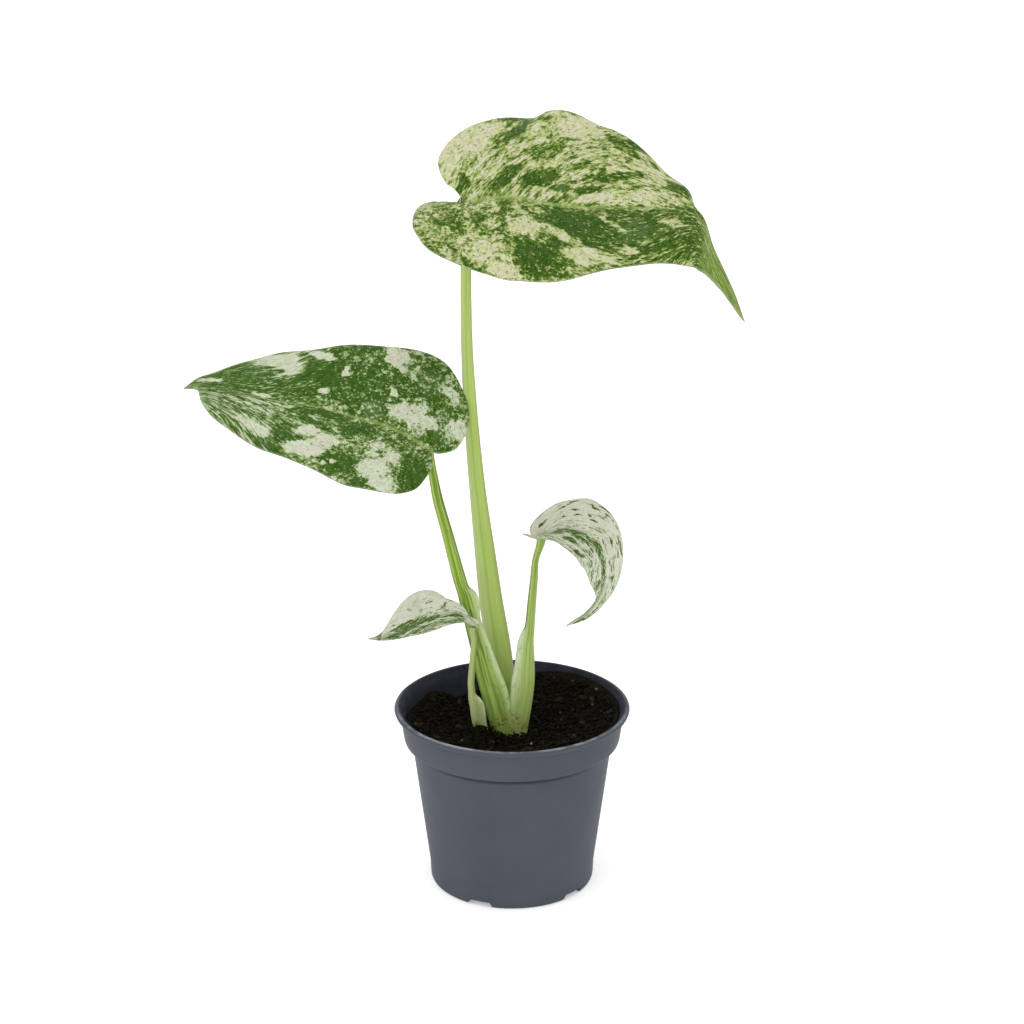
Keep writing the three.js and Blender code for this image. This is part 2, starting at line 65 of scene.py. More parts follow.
# Leaves and stalks
BLADE_THICKNESS = 0.7
THIN_EDGE = 0.3
EDGE_TAPER = 1.5
THIN_TIP = 0.25
TIP_TAPER = 6
TIP_HALF_WIDTH = 0.1
MIDRIB_DEPTH = 0.5
MIDRIB_REACH = 1.2
RIB_HEIGHT = 0.16
GROOVE_DEPTH = 0.12
VEIN_BOW = 0.09
BASE_VEIN_BOW = 0.12
WING_SPREAD = 24

# How brightly a level surface and an upright stalk are lit, and how much light their gloss adds
LIGHT = 1.3
STALK_LIGHT = 0.95
GLOSS = 0.009

# Camera
CAMERA_PLACE = (0, -0.702, 0.3553)
CAMERA_TILT = 70
CAMERA_LENS = 105.47
SENSOR_WIDTH = 36

# How far the soil rises from its centre to the pot's wall, every 30 degrees round from -X through -Y
SOIL_RISE = [[2.8], [3.6], [4], [4], [4.2], [4.6], [5], [5.4], [5.4], [2.6], [-1.1], [1.4], [2.8]]
# Mounds of soil at the foot of the lowest stalk and against the wall at the back: x, y, height, radius
SOIL_MOUNDS = [[-8.8, -8.2, 3.6, 4.6], [-19.8, 17, 2.4, 4.5]]

# Each stalk runs from its leaf down to the stem: x, y, z, half width, half depth, sheath wing
STALKS = {
    "petiole_top": [
        [-11.5, -1.1, 178.5, 1.5, 1.4, 0],
        [-11.5, -0.6, 174.5, 1.35, 1.3, 0],
        [-11.2, 1, 163.1, 1.3, 1.25, 0],
        [-11.2, 1.8, 154, 1.35, 1.3, 0],
        [-11, 2.3, 141.2, 1.45, 1.4, 0],
        [-10.4, 2.6, 128.2, 1.65, 1.5, 0],
        [-9.5, 2.6, 115.2, 1.85, 1.7, 0],
        [-8.3, 2.4, 102.1, 2.1, 1.9, 0],
        [-6.55, 2.1, 86.2, 2.65, 2.3, 0],
        [-5.3, 1.8, 75.5, 2.95, 2.5, 0],
        [-3.4, 1.4, 62, 3.25, 2.7, 0],
        [-2.2, 1, 49.8, 3.3, 2.6, 0],
        [-1.5, 0.8, 39, 2.5, 2.3, 0],
        [-1.2, 0.8, 35.1, 2.3, 2.1, 0],
    ],
    "petiole_left": [
        [-20.3, -13, 120.4, 1.25, 1.2, 0],
        [-19.7, -12.6, 117, 1.05, 1.05, 0],
        [-19.25, -12, 113.8, 1.1, 1.1, 0],
        [-18.15, -10.8, 106.9, 1.3, 1.15, 0],
        [-16.15, -9.5, 98.5, 1.4, 1.3, 0],
        [-14.25, -8.4, 90.2, 1.55, 1.4, 0],
        [-13.05, -7.5, 85, 1.65, 1.5, 0],
        [-12.35, -7.2, 82.4, 1.65, 1.5, 0.2],
        [-11.85, -7, 80.6, 1.7, 1.55, 1.6],
        [-11.15, -6.8, 77.5, 1.75, 1.6, 1.7],
        [-10.05, -6.4, 72.8, 1.9, 1.65, 0.7],
        [-8.15, -6.1, 65.1, 2.15, 1.75, 1.3],
        [-6.85, -5.8, 59, 2.3, 1.8, 2],
        [-5.55, -5.4, 53.4, 2.35, 1.8, 2.6],
        [-4.05, -4.9, 47.5, 2.35, 1.8, 2],
        [-2.4, -4.2, 40.7, 2.3, 1.7, 0.8],
        [-1.9, -3.4, 35.3, 1.5, 1.3, 0],
    ],
    "petiole_right": [
        [7.4, -5.1, 95.1, 1.25, 1.15, 0],
        [6.9, -5, 92.6, 1, 0.95, 0],
        [5.85, -5, 88.9, 0.85, 0.85, 0],
        [5.45, -5, 83.6, 1, 0.9, 0],
        [5, -5, 78.2, 1.1, 1, 0],
        [4.55, -5, 71.8, 1.2, 1.1, 0.1],
        [4.4, -5, 69.8, 1.25, 1.1, 0.9],
        [4.05, -5, 66.8, 1.45, 1.25, 1.5],
        [3.75, -5, 62, 1.95, 1.5, 1.4],
        [3.5, -4.8, 56.4, 2.25, 1.7, 1.8],
        [2.85, -4.4, 50.7, 2.35, 1.75, 1.6],
        [1.9, -4.2, 44.9, 2.45, 1.7, 0.9],
        [1.3, -3.9, 39.7, 2.2, 1.5, 0.7],
        [1.1, -3, 35.2, 1.3, 1.2, 0],
    ],
    "petiole_low": [
        [-9.65, -10.45, 73.3, 0.85, 0.85, 0],
        [-9.7, -10.4, 72, 0.85, 0.85, 0],
        [-9.4, -10.3, 69.6, 0.8, 0.8, 0],
        [-9.8, -10, 64.1, 0.8, 0.8, 0],
        [-10.25, -9.5, 58.1, 0.85, 0.8, 0],
        [-10.1, -9.1, 55, 0.9, 0.85, 0],
        [-10.1, -8.9, 53.2, 0.9, 0.85, 1.4],
        [-9.7, -8.6, 50.7, 0.95, 0.85, 2],
        [-8.8, -7.8, 45.1, 1, 0.9, 1.7],
        [-6.1, -5.9, 39, 1, 0.9, 0.3],
        [-4.6, -3.9, 35.7, 0.9, 0.9, 0],
    ],
}

# Where each stalk's wing stands out of its section, in degrees from +X
WING_ANGLES = {"petiole_top": 0, "petiole_left": -20, "petiole_right": 205, "petiole_low": -15}

# Each midrib runs from the stalk to the leaf's tip: x, y, z, heading of the leaf's right side, how steeply
# that side rises, and how far the right and the left half fold up, all in degrees
MIDRIBS = {
    "blade_top": [
        [-12, -1, 179, -90, -21, 5, 10],
        [0, -3, 180.5, -90, -21, 4, 12],
        [12, -5, 179, -90, -21, 3, 14],
        [24, -7, 179, -90, -21, 3, 12],
        [35, -9, 179.5, -90, -22, 0, 8],
        [44, -12, 178, -90, -24, -4, 3],
        [48, -17, 168.5, -92, -30, -8, 0],
        [55, -20, 155, -95, -35, -8, 0],
    ],
    "blade_left": [
        [-20, -13, 120.5, 70, 21, 14, 9],
        [-28.5, -11, 125, 71, 22, 13, 9],
        [-38, -8, 127, 72, 23, 12, 8],
        [-48.5, -5, 129, 73, 24, 11, 7],
        [-59, -2, 129.5, 74, 25, 10, 6],
        [-70, 1, 131.3, 75, 26, 8, 5],
        [-81, 4, 130.8, 76, 28, 4, 4],
    ],
    "blade_right": [
        [7, -5, 95, -92, -10, 26, 20],
        [12.5, -6, 97.5, -98, -20, 8, 12],
        [17.5, -7, 97, -106, -24, 4, 10],
        [21.5, -8, 94.5, -116, -20, 4, 10],
        [23, -9, 90.5, -126, -10, 4, 8],
        [23, -10, 85.5, -133, 5, 4, 6],
        [21.5, -11, 81, -138, 20, 4, 5],
        [18.3, -12, 77.1, -140, 38, 4, 4],
        [13.5, -13, 74.5, -142, 45, 4, 4],
    ],
    "blade_low": [
        [-9.5, -10.5, 74, 78, 20, 50, 36],
        [-13, -11.5, 77, 78, 20, 32, 18],
        [-17.5, -12.5, 77.5, 79, 20, 22, 11],
        [-22.5, -13.5, 76, 80, 20, 18, 10],
        [-27, -14.5, 74, 80, 20, 16, 10],
        [-31.5, -15.5, 72.5, 80, 20, 12, 8],
        [-35.5, -16.4, 72.4, 80, 20, 5, 5],
    ],
}

# How much each half of a leaf curls up per millimetre of its width, in radians, at the base and at the tip
CURLS = {
    "blade_top": {"right": [-0.01, -0.015], "left": [-0.006, -0.006]},
    "blade_left": {"right": [-0.008, -0.008], "left": [-0.008, -0.008]},
    "blade_right": {"right": [0, 0], "left": [-0.01, -0.01]},
    "blade_low": {"right": [0, 0], "left": [0, 0]},
}

# Veins on the leaf's flat pattern: where each leaves the midrib, then its end on the right margin and on the
# left margin, as length along the leaf, width across it, and lift
VEINS = {
    "blade_top": [
        [0, -6, -1, 0, -3.7, 6.9, 0],
        [0.3, -8.5, -1.5, 0, -4.8, 9.6, 0],
        [0.6, -10.6, 0.3, 0, -5.5, 12.2, 0],
        [0.9, -11.5, 3.5, 0.3, -5.7, 14.8, 0.3],
        [1.3, -11.8, 7.5, 0.6, -5.2, 17.5, 0.5],
        [1.9, -11.2, 11.6, 0.8, -2.5, 22.5, 0.8],
        [2.8, -7.6, 18.9, 0.8, 2, 27.5, 0.5],
        [5, 0, 23.9, -0.5, 8.5, 31, -0.8],
        [9, 9, 28.3, -1, 16.5, 31.8, -1.5],
        [12, 14.2, 29, -0.3, 20.3, 32.2, 0.8],
        [15, 19.5, 28.4, 0.5, 24, 31.8, 2],
        [18, 24.5, 26.8, 0.8, 28.3, 31.2, 1.9],
        [22, 30, 24.6, 1, 33.5, 29.5, 0.6],
        [26, 35, 22.4, 0.5, 38.5, 26.8, 1],
        [30, 40, 20.6, 0, 43.2, 22.5, 1],
        [38, 49, 18, -0.5, 51, 14, -0.5],
        [45, 56.5, 17.4, 0, 57, 7.3, 1],
        [52, 64, 13.6, 0, 59.8, 2.8, 0.2],
        [59, 70.5, 7.2, 0, 66.5, 3.8, 0],
        [66, 76, 3.6, 0, 73.5, 4, 0],
        [76, 80.5, 1.8, 0, 79.5, 3, 0],
        [81, 83, 1, 0, 82.6, 1.5, 0],
    ],
    "blade_left": [
        [0, -0.6, 0.1, 0, -0.4, 0.4, 0],
        [0.3, -2.5, 0.5, 0, -1.5, 2, 0],
        [0.6, -5.5, 4, 0, -2.5, 5.5, 0],
        [1, -6, 9.5, 0, -2.5, 9.5, 0],
        [1.6, -4.5, 15, 0.3, -1.5, 15.5, 0],
        [2.6, -0.5, 20, 0.6, 2, 20, 0.3],
        [4.5, 6.5, 25.5, 0, 8.5, 23.5, 0.6],
        [8, 14, 26.7, -0.6, 15.5, 24, -0.3],
        [13, 21.5, 24, 0.6, 24, 21.5, -0.6],
        [20, 29.5, 21.5, 0.5, 31.5, 20.5, 0.4],
        [28, 37, 19, -0.6, 40, 17.9, 0.2],
        [37, 45, 16, -0.3, 48, 14, -0.3],
        [46, 51.5, 10, 0.4, 54.3, 10.6, 0],
        [54, 58, 5.8, 0, 58.8, 5.5, 0],
        [60.5, 62.5, 3.4, 0, 61.8, 0.1, 0],
    ],
    "blade_right": [
        [0, -0.5, 0.1, 0, -0.5, 0.2, 0],
        [0.2, -1.7, 0.5, 1.1, -1.5, 1, 0],
        [0.5, -3.2, 2.2, 2.3, -2.5, 2.5, 0],
        [1, -2.2, 4.3, 1.9, -2, 4.8, 0],
        [2, 0.7, 5.4, 0.8, 0.5, 7.2, 0],
        [4, 4, 5.8, 0, 3, 8.8, 0],
        [7, 6.5, 7.6, 0, 6, 9.4, 0],
        [11, 10.5, 9.2, 0, 9.5, 10.5, 0],
        [16, 15.5, 10.5, 0, 13, 9.6, 0],
        [21, 25, 6.3, 0, 17.5, 8, 0],
        [26, 31, 1.2, 0, 22, 6.6, 0],
        [31, 34.5, 0.8, 0, 26.5, 4.9, 0],
        [35.5, 37.5, 0.6, 0, 32.5, 2.4, 0],
        [39, 39.5, 0.5, 0, 38, 1.2, 0],
    ],
    "blade_low": [
        [0, -0.4, 0.1, 0, -0.4, 0.3, 0],
        [0.3, -1.3, 0.8, 0, -1, 1.2, 0],
        [0.6, -0.8, 1.3, 0, -0.3, 1.9, 0],
        [1.2, 0.9, 1.2, 0, 0.9, 2.1, 0],
        [2, 2.5, 0.8, 0, 2.3, 1.9, 0],
        [3, 5, 2.3, 0, 3.5, 3.6, 0],
        [5, 9.5, 4.5, 0, 6.5, 6, 0],
        [8, 12, 7.4, 0, 9.5, 7.8, 0],
        [12, 15.5, 9.3, 0, 12.5, 7.6, 0],
        [16.5, 19.5, 9.2, 0, 17.5, 5, 0],
        [21, 22.5, 6.5, 0, 22.5, 2.2, 0],
        [25.5, 25.5, 1.5, 0, 26, 0.8, 0],
    ],
}

# Marks of the two leaf colours, laid over one another in order: length along the leaf, width across
# it (+ right, - left), half length, half width, heading in degrees (0 along the leaf, + to the right)
# and how green (1) or cream (-1) it is there
MARKS = {
    "blade_top": [
        [20, -18, 60, 16, 0, -0.15], [3, -23, 7, 4, -45, -0.95], [-3, -14, 2.5, 6, 10, -0.75],
        [0.5, -6.5, 4, 1.6, -75, 0.9], [6, -12, 5, 2, -60, -0.35], [15, -30.5, 4, 1.3, 0, 0.8],
        [13, -24, 8, 2.4, -45, 0.5], [11, -7.5, 6, 1.8, -48, 0.95], [18.5, -8, 5, 2.2, -30, 1.1],
        [20, -17, 4.5, 2.2, -35, 0.45], [22, -29, 3, 1, -10, 0.7], [28, -27, 6, 3.5, 15, -0.95],
        [24, -5.5, 2.6, 1.2, 0, 0.8], [36, -10, 8, 1.5, -12, 0.9], [34, -12.5, 2, 0.9, 0, 0.9],
        [30, -5.5, 4, 0.9, -15, 0.7], [41, -21.5, 5.5, 2.3, 18, 1.1], [47, -9, 6, 1.5, 5, -0.6],
        [50, -13, 5, 2, 40, -0.95], [54, -7, 3.8, 1.7, 32, 1.1], [40, -2.7, 13, 1.9, 4, -0.95],
        [48, 9, 26, 9, 0, 0.85], [37, 9, 12, 6.5, 8, 1], [26, 7, 7, 4, 35, 1.15],
        [17.5, 21, 6, 5.5, 15, 1.1], [23, 16.5, 4, 3, 40, 0.9], [10.5, 7, 1.5, 6, 0, 0.85],
        [-1.5, 8, 1.5, 5, -15, 0.75], [-5, 9, 3.5, 2, 10, 0.5], [4, 8.5, 2.2, 4, -20, 0.5],
        [15, 11, 4, 4, 0, -0.6], [6, 20, 6, 4, 30, -0.55], [9.5, 26, 4, 2, 20, -0.9],
        [2, 24.5, 3, 1, 35, 0.5], [24.5, 12.5, 6, 1.6, 38, -0.55], [29, 18.5, 4.5, 2.6, 10, -0.75],
        [35, 20, 4.5, 1.3, -15, -0.6], [36, 6.5, 4, 0.8, 45, -0.5], [40, 16, 4, 1.1, 15, -0.55],
        [54, 5.5, 7, 1.2, 5, 0.1], [46, 19, 8, 2, 0, 0.75], [72, 0, 14, 5, 0, 0.45],
    ],
    "blade_left": [
        [24, 12, 14, 9, 0, 0.65], [54, 3, 9, 5, 0, 0.95], [50, 8.5, 5, 1.6, -20, 0.9],
        [45.5, 12.5, 5.5, 2, -25, -1.1], [40.5, 10.5, 2.8, 2.2, 0, -1.05],
        [36, 16.8, 4, 1.3, 15, -0.95], [32.5, 10, 6, 4, -8, 1.1], [40, 4.5, 8, 3, 0, 0.85],
        [59, 2.6, 3, 0.5, 0, -0.9], [46.5, 1, 2, 0.5, 0, -0.5], [31.5, 5, 1.6, 0.8, -20, -0.6],
        [28, 12.5, 1, 1.6, 0, -0.8], [24, 20, 5, 4, 0, 0.75], [18, 21.5, 3, 3, -30, -1.1],
        [15.5, 18.5, 1.8, 1.2, 60, -0.9], [12.5, 16.5, 1.8, 1, 30, -0.6], [9, 22.5, 5, 2, 20, 0.75],
        [17.5, 11.5, 7, 4.5, 0, 0.85], [14.5, 10, 1, 0.9, 0, -0.9], [17.5, 5, 3.5, 2, -15, 0.6],
        [7.5, 6, 6, 2.7, -5, -1.05], [2, 11.5, 5, 2.6, 0, 0.5], [5, 14, 3, 2.5, 0, 0.75],
        [2, 17.5, 2.5, 1.5, 20, -0.9], [-3.5, 9, 2.6, 2.4, 20, -1.05], [0.5, 3.2, 3.6, 1.7, 15, 1.1],
        [47, -3, 9, 2, 3, 0.15], [31, -2.2, 7, 1.5, -5, 1], [20, -4.5, 3.8, 2.2, -20, 1.15],
        [43.5, -11, 5.5, 1.8, 25, -1.05], [36, -12, 3.2, 3.5, 0, 1.15], [38, -17, 4.5, 1.2, 12, 0.85],
        [29.5, -16, 5, 2.2, -6, -1.15], [25.5, -11.5, 3, 2.4, -50, -1], [31, -9.5, 2.8, 2, -20, -1],
        [26.5, -7.8, 3, 0.8, 10, 0.6], [20.5, -17, 5, 3, 15, 1], [24, -19, 0.8, 0.7, 0, -1],
        [22, -17.5, 0.8, 0.5, 0, -1], [14, -21.5, 5, 1.6, 8, 0.6], [10.5, -16.5, 3.8, 3.5, 10, -1.05],
        [7, -20.5, 3.2, 2.4, -10, -1.1], [11, -9.5, 5, 3, 0, -0.25], [7.5, -10.5, 2.5, 1.5, 40, -0.8],
        [8, -5, 5, 1.6, -15, 0.25], [0.5, -12, 4.2, 6, 0, 1.1], [0, -4.5, 2.6, 1.6, 30, 0.65],
    ],
    "blade_right": [
        [20, -6, 30, 8, 0, -0.7], [20, -1, 30, 0.7, 0, -0.4], [7, -8.7, 0.9, 0.35, 0, 1.3],
        [7.2, -6, 0.7, 0.35, 0, 1.3], [8.2, -4.3, 0.8, 0.25, 0, 1.3], [5.6, -3.6, 0.4, 0.3, 0, 1.1],
        [5, -7, 0.4, 0.3, 0, 1.1], [1, -3.8, 1.3, 0.35, -60, 1.2], [10.8, -8, 1.2, 0.35, 30, 1.2],
        [10.3, -5, 0.5, 0.3, 0, 1.1], [11.6, -4.2, 0.9, 0.25, 0, 1.2], [13.6, -9.4, 1.8, 0.5, 0, 1.4],
        [14.2, -7.8, 1.1, 0.25, 20, 1.1], [16.6, -1, 0.8, 0.3, 0, 1.2], [18.3, -3.2, 0.7, 0.25, 0, 1.2],
        [18.5, -5.2, 0.6, 0.25, 0, 1.2], [21.3, -4.4, 0.8, 0.3, 0, 1.3],
        [20.5, -6.1, 2.5, 0.25, 0, 0.9], [26, -1.8, 0.7, 0.3, 0, 1.2], [20, 6, 30, 7, 0, -0.25],
        [11, 1.6, 9, 1.5, 6, 0.45], [21, 1.4, 7, 1.1, 0, 0.5], [4, 1.5, 1.4, 0.9, 0, 0.8],
        [8.5, 0.9, 4, 0.6, 5, 0.9], [10, 2.8, 2.5, 0.5, 12, 0.9], [7.8, 4.6, 2, 0.7, 15, 0.95],
        [11.2, 8, 1.8, 0.7, 10, 1.2], [11.7, 3.2, 1.2, 0.6, 0, 0.8], [17, 2.4, 1.2, 0.4, 0, 0.8],
        [20, 1, 4, 0.4, 0, 1], [17.5, 7, 1.2, 0.4, 0, 0.8], [27.5, 3, 2.2, 0.9, 0, 0.8],
        [27, 0.6, 2, 0.5, 0, 0.6], [34, 0, 5, 3, 0, -0.1], [38.3, -0.4, 1.4, 0.5, 0, 1.3],
    ],
    "blade_low": [
        [14, 7, 16, 6.5, 0, -1], [17.3, 4.8, 1.4, 0.3, 20, 0.3], [13.2, 4.4, 0.4, 0.25, 0, 0.6],
        [12.4, 4.2, 0.3, 0.3, 0, 0.6], [14, 2.5, 0.5, 0.25, 0, 0.6], [12, 2.4, 0.6, 0.25, 0, 0.7],
        [9.8, 1.5, 1.2, 0.25, 0, 0.7], [9, 2.3, 0.25, 0.5, 0, 0.9], [20.3, 6, 0.3, 0.25, 0, 0.6],
        [21.8, 2.6, 0.5, 0.3, 0, 0.6], [16.5, 0.9, 1.4, 0.4, 0, 0.7], [14, -4, 13, 4, 0, 0.45],
        [5, -1.2, 2, 1.1, 0, 1], [11.5, -1.5, 2.5, 1.2, 20, 1], [18, -1.5, 4, 1.6, 0, 1],
        [19.5, 0.8, 2.5, 0.9, 0, 1], [8, -0.6, 2.5, 0.3, 0, -0.8], [12.5, -3.2, 3, 0.45, 15, -0.7],
        [8, -3, 2.5, 0.35, 0, -0.7], [16, -4, 3, 0.3, 10, -0.4], [1.5, 0, 2.6, 4, 0, -0.5],
        [25.4, 0, 1, 1.5, 0, 0.9],
    ],
}

# Painted greyish sheen, where the leaf reflects the light: length along the leaf, width across it, radius
PAINTED_SHEEN = {
    "blade_top": [[42, 9, 3.5], [15, -30.5, 2], [2, 2.5, 2], [23.5, -5.5, 1.5]],
    "blade_left": [
        [8, 17, 3], [14, 19, 2], [-1, 5, 2.2], [18, 3.5, 2.6], [50, 8.5, 3], [1, 10, 2], [56, -5, 2],
    ],
    "blade_right": [[3.5, 2, 1.5], [28, 3, 1.5]],
    "blade_low": [[15.9, 6, 1]],
}

# How streaky the marbling is: in the right half and in the left half at the base, and the two lengths
# along the leaf between which it turns to streaks all over
GRAIN = {
    "blade_top": [0.2, 0.75, 20, 38],
    "blade_left": [0.15, 0.35, 24, 44],
    "blade_right": [1, 0.8, 0, 5],
    "blade_low": [0.8, 0.8, 0, 5],
}

# Length along each leaf where its young bright tip begins
FRESH = {"blade_top": 58, "blade_left": 58, "blade_right": 90, "blade_low": 90}

# How green each leaf is where no mark lies
BARE = {"blade_top": 0.05, "blade_left": 0.3, "blade_right": -0.5, "blade_low": -0.2}

# Tones of the leaves from cream to the darkest green, as they look in the room's light
CREAM_AND_GREEN = [
    (222, 223, 184), (192, 202, 134), (156, 174, 96), (112, 138, 54), (72, 104, 28), (48, 82, 10),
]
WHITE_AND_GREEN = [
    (220, 227, 206), (190, 203, 162), (150, 172, 114), (112, 139, 70), (80, 112, 38), (54, 88, 16),
]
WHITE_AND_GREY = [
    (218, 219, 204), (194, 200, 178), (162, 174, 136), (122, 144, 84), (86, 114, 42), (60, 88, 24),
]

# Leaf skins: tones and the light they are seen in, how hard the edges of the marbling are (crisp), how few
# dark flecks it has (sparse), how much mid green clouds it, how fine it is, and the tone of the midrib
LEAF_SKINS = {
    "marbled_leaf_cream": {
        "tones": CREAM_AND_GREEN, "light": 1.3, "crisp": 1.2, "sparse": 0, "cloudy": 0.22, "fine": 1,
        "rib_tone": (160, 181, 104),
    },
    "marbled_leaf_white": {
        "tones": WHITE_AND_GREEN, "light": 1.22, "crisp": 1.4, "sparse": 0.015, "cloudy": 0.12, "fine": 1,
        "rib_tone": (160, 181, 104),
    },
    "pale_leaf": {
        "tones": WHITE_AND_GREY, "light": 1.15, "crisp": 1.3, "sparse": 0.05, "cloudy": 0.15, "fine": 1.5,
        "rib_tone": (200, 204, 178),
    },
    "low_leaf": {
        "tones": WHITE_AND_GREY, "light": 1.06, "crisp": 1.3, "sparse": 0.07, "cloudy": 0.1, "fine": 1.5,
        "rib_tone": (196, 202, 170),
    },
}

# Stalk skins: tones from the left edge (0) to the right (1), with painted shade darkening both edges, dark
# and light streaks and how strong they are, the sheath's wing, the foot, and how close together the streaks
# are
STALK_SKINS = {
    "pale_stalk": {
        "round_tones": [
            (0, (140, 156, 92)), (0.06, (176, 189, 128)), (0.25, (172, 189, 120)), (0.45, (155, 177, 92)),
            (0.6, (162, 184, 98)), (0.85, (166, 185, 102)), (1, (132, 148, 78)),
        ],
        "dark": (140, 164, 76), "light": (180, 197, 128), "amount": 0.32,
        "wing_tone": (184, 200, 148), "foot_tone": (140, 150, 78), "detail": 3.8,
    },
    "striped_stalk": {
        "round_tones": [
            (0, (78, 92, 38)), (0.08, (96, 118, 46)), (0.26, (136, 162, 68)), (0.5, (110, 138, 44)),
            (0.7, (142, 166, 80)), (0.92, (118, 138, 62)), (1, (92, 108, 48)),
        ],
        "dark": (78, 106, 22), "light": (164, 187, 104), "amount": 0.85,
        "wing_tone": (186, 200, 152), "foot_tone": (132, 144, 70), "detail": 2.8,
    },
    "short_stalk": {
        "round_tones": [
            (0, (84, 92, 52)), (0.1, (118, 132, 78)), (0.3, (162, 180, 114)), (0.45, (132, 158, 70)),
            (0.6, (122, 149, 58)), (0.8, (152, 174, 98)), (0.94, (140, 156, 96)), (1, (98, 112, 58)),
        ],
        "dark": (100, 128, 40), "light": (172, 191, 118), "amount": 0.6,
        "wing_tone": (204, 214, 184), "foot_tone": (132, 142, 76), "detail": 2.6,
    },
    "low_stalk": {
        "round_tones": [
            (0, (120, 134, 72)), (0.12, (160, 173, 112)), (0.5, (158, 171, 108)), (0.9, (122, 138, 70)),
            (1, (96, 110, 54)),
        ],
        "dark": (116, 138, 66), "light": (180, 190, 138), "amount": 0.5,
        "wing_tone": (190, 200, 152), "foot_tone": (120, 128, 70), "detail": 2.2,
    },
}


def between(rows, position):
    """Smooth curve through rows of numbers, with the position counted in rows."""
    last = len(rows) - 1
    index = min(max(math.floor(position), 0), last - 1)
    w = position - index
    values = []
    for column in range(len(rows[0])):
        b = rows[index][column]
        c = rows[index + 1][column]
        a = rows[index - 1][column] if index > 0 else 2 * b - c
        d = rows[index + 2][column] if index + 2 <= last else 2 * c - b
        leave = (c - a) / 2
        arrive = (d - b) / 2
        square = 3 * (c - b) - 2 * leave - arrive
        cube = 2 * (b - c) + leave + arrive
        values.append(b + w * (leave + w * (square + w * cube)))
    return values


def smooth(value):
    value = min(max(value, 0), 1)
    return value * value * (3 - 2 * value)


def make_object(name, bm, materials, rounded=True):
    mesh = bpy.data.meshes.new(name)
    bm.to_mesh(mesh)
    bm.free()
    for item in materials:
        mesh.materials.append(item)
    if rounded:
        mesh.shade_smooth()
    thing = bpy.data.objects.new(name, mesh)
    bpy.context.scene.collection.objects.link(thing)
    return thing


def turned(profile, steps):
    """Profile of radius and height, spun round the pot's axis."""
    bm = bmesh.new()
    points = [bm.verts.new((radius * MM, 0, height * MM)) for radius, height in profile]
    edges = [bm.edges.new(pair) for pair in zip(points, points[1:])]
    bmesh.ops.spin(
        bm, geom=points + edges, cent=(0, 0, 0), axis=(0, 0, 1), dvec=(0, 0, 0),
        angle=2 * math.pi, steps=steps, use_merge=True, use_duplicate=False,
    )
    bmesh.ops.remove_doubles(bm, verts=bm.verts, dist=1e-6)
    return bm


# Materials

def colour(red, green, blue, light=LIGHT):
    """Colour as it looks in the light of the room, from values out of 255."""
    def linear(value):
        value /= 255
        return value / 12.92 if value <= 0.04045 else ((value + 0.055) / 1.055) ** 2.4
    return tuple(max((linear(value) - GLOSS) / light, 0.001) for value in (red, green, blue)) + (1,)


def shade(red, green, blue):
    """Dark colour of something that hardly shines."""
    return tuple((value / 255) ** 2.2 / LIGHT for value in (red, green, blue)) + (1,)


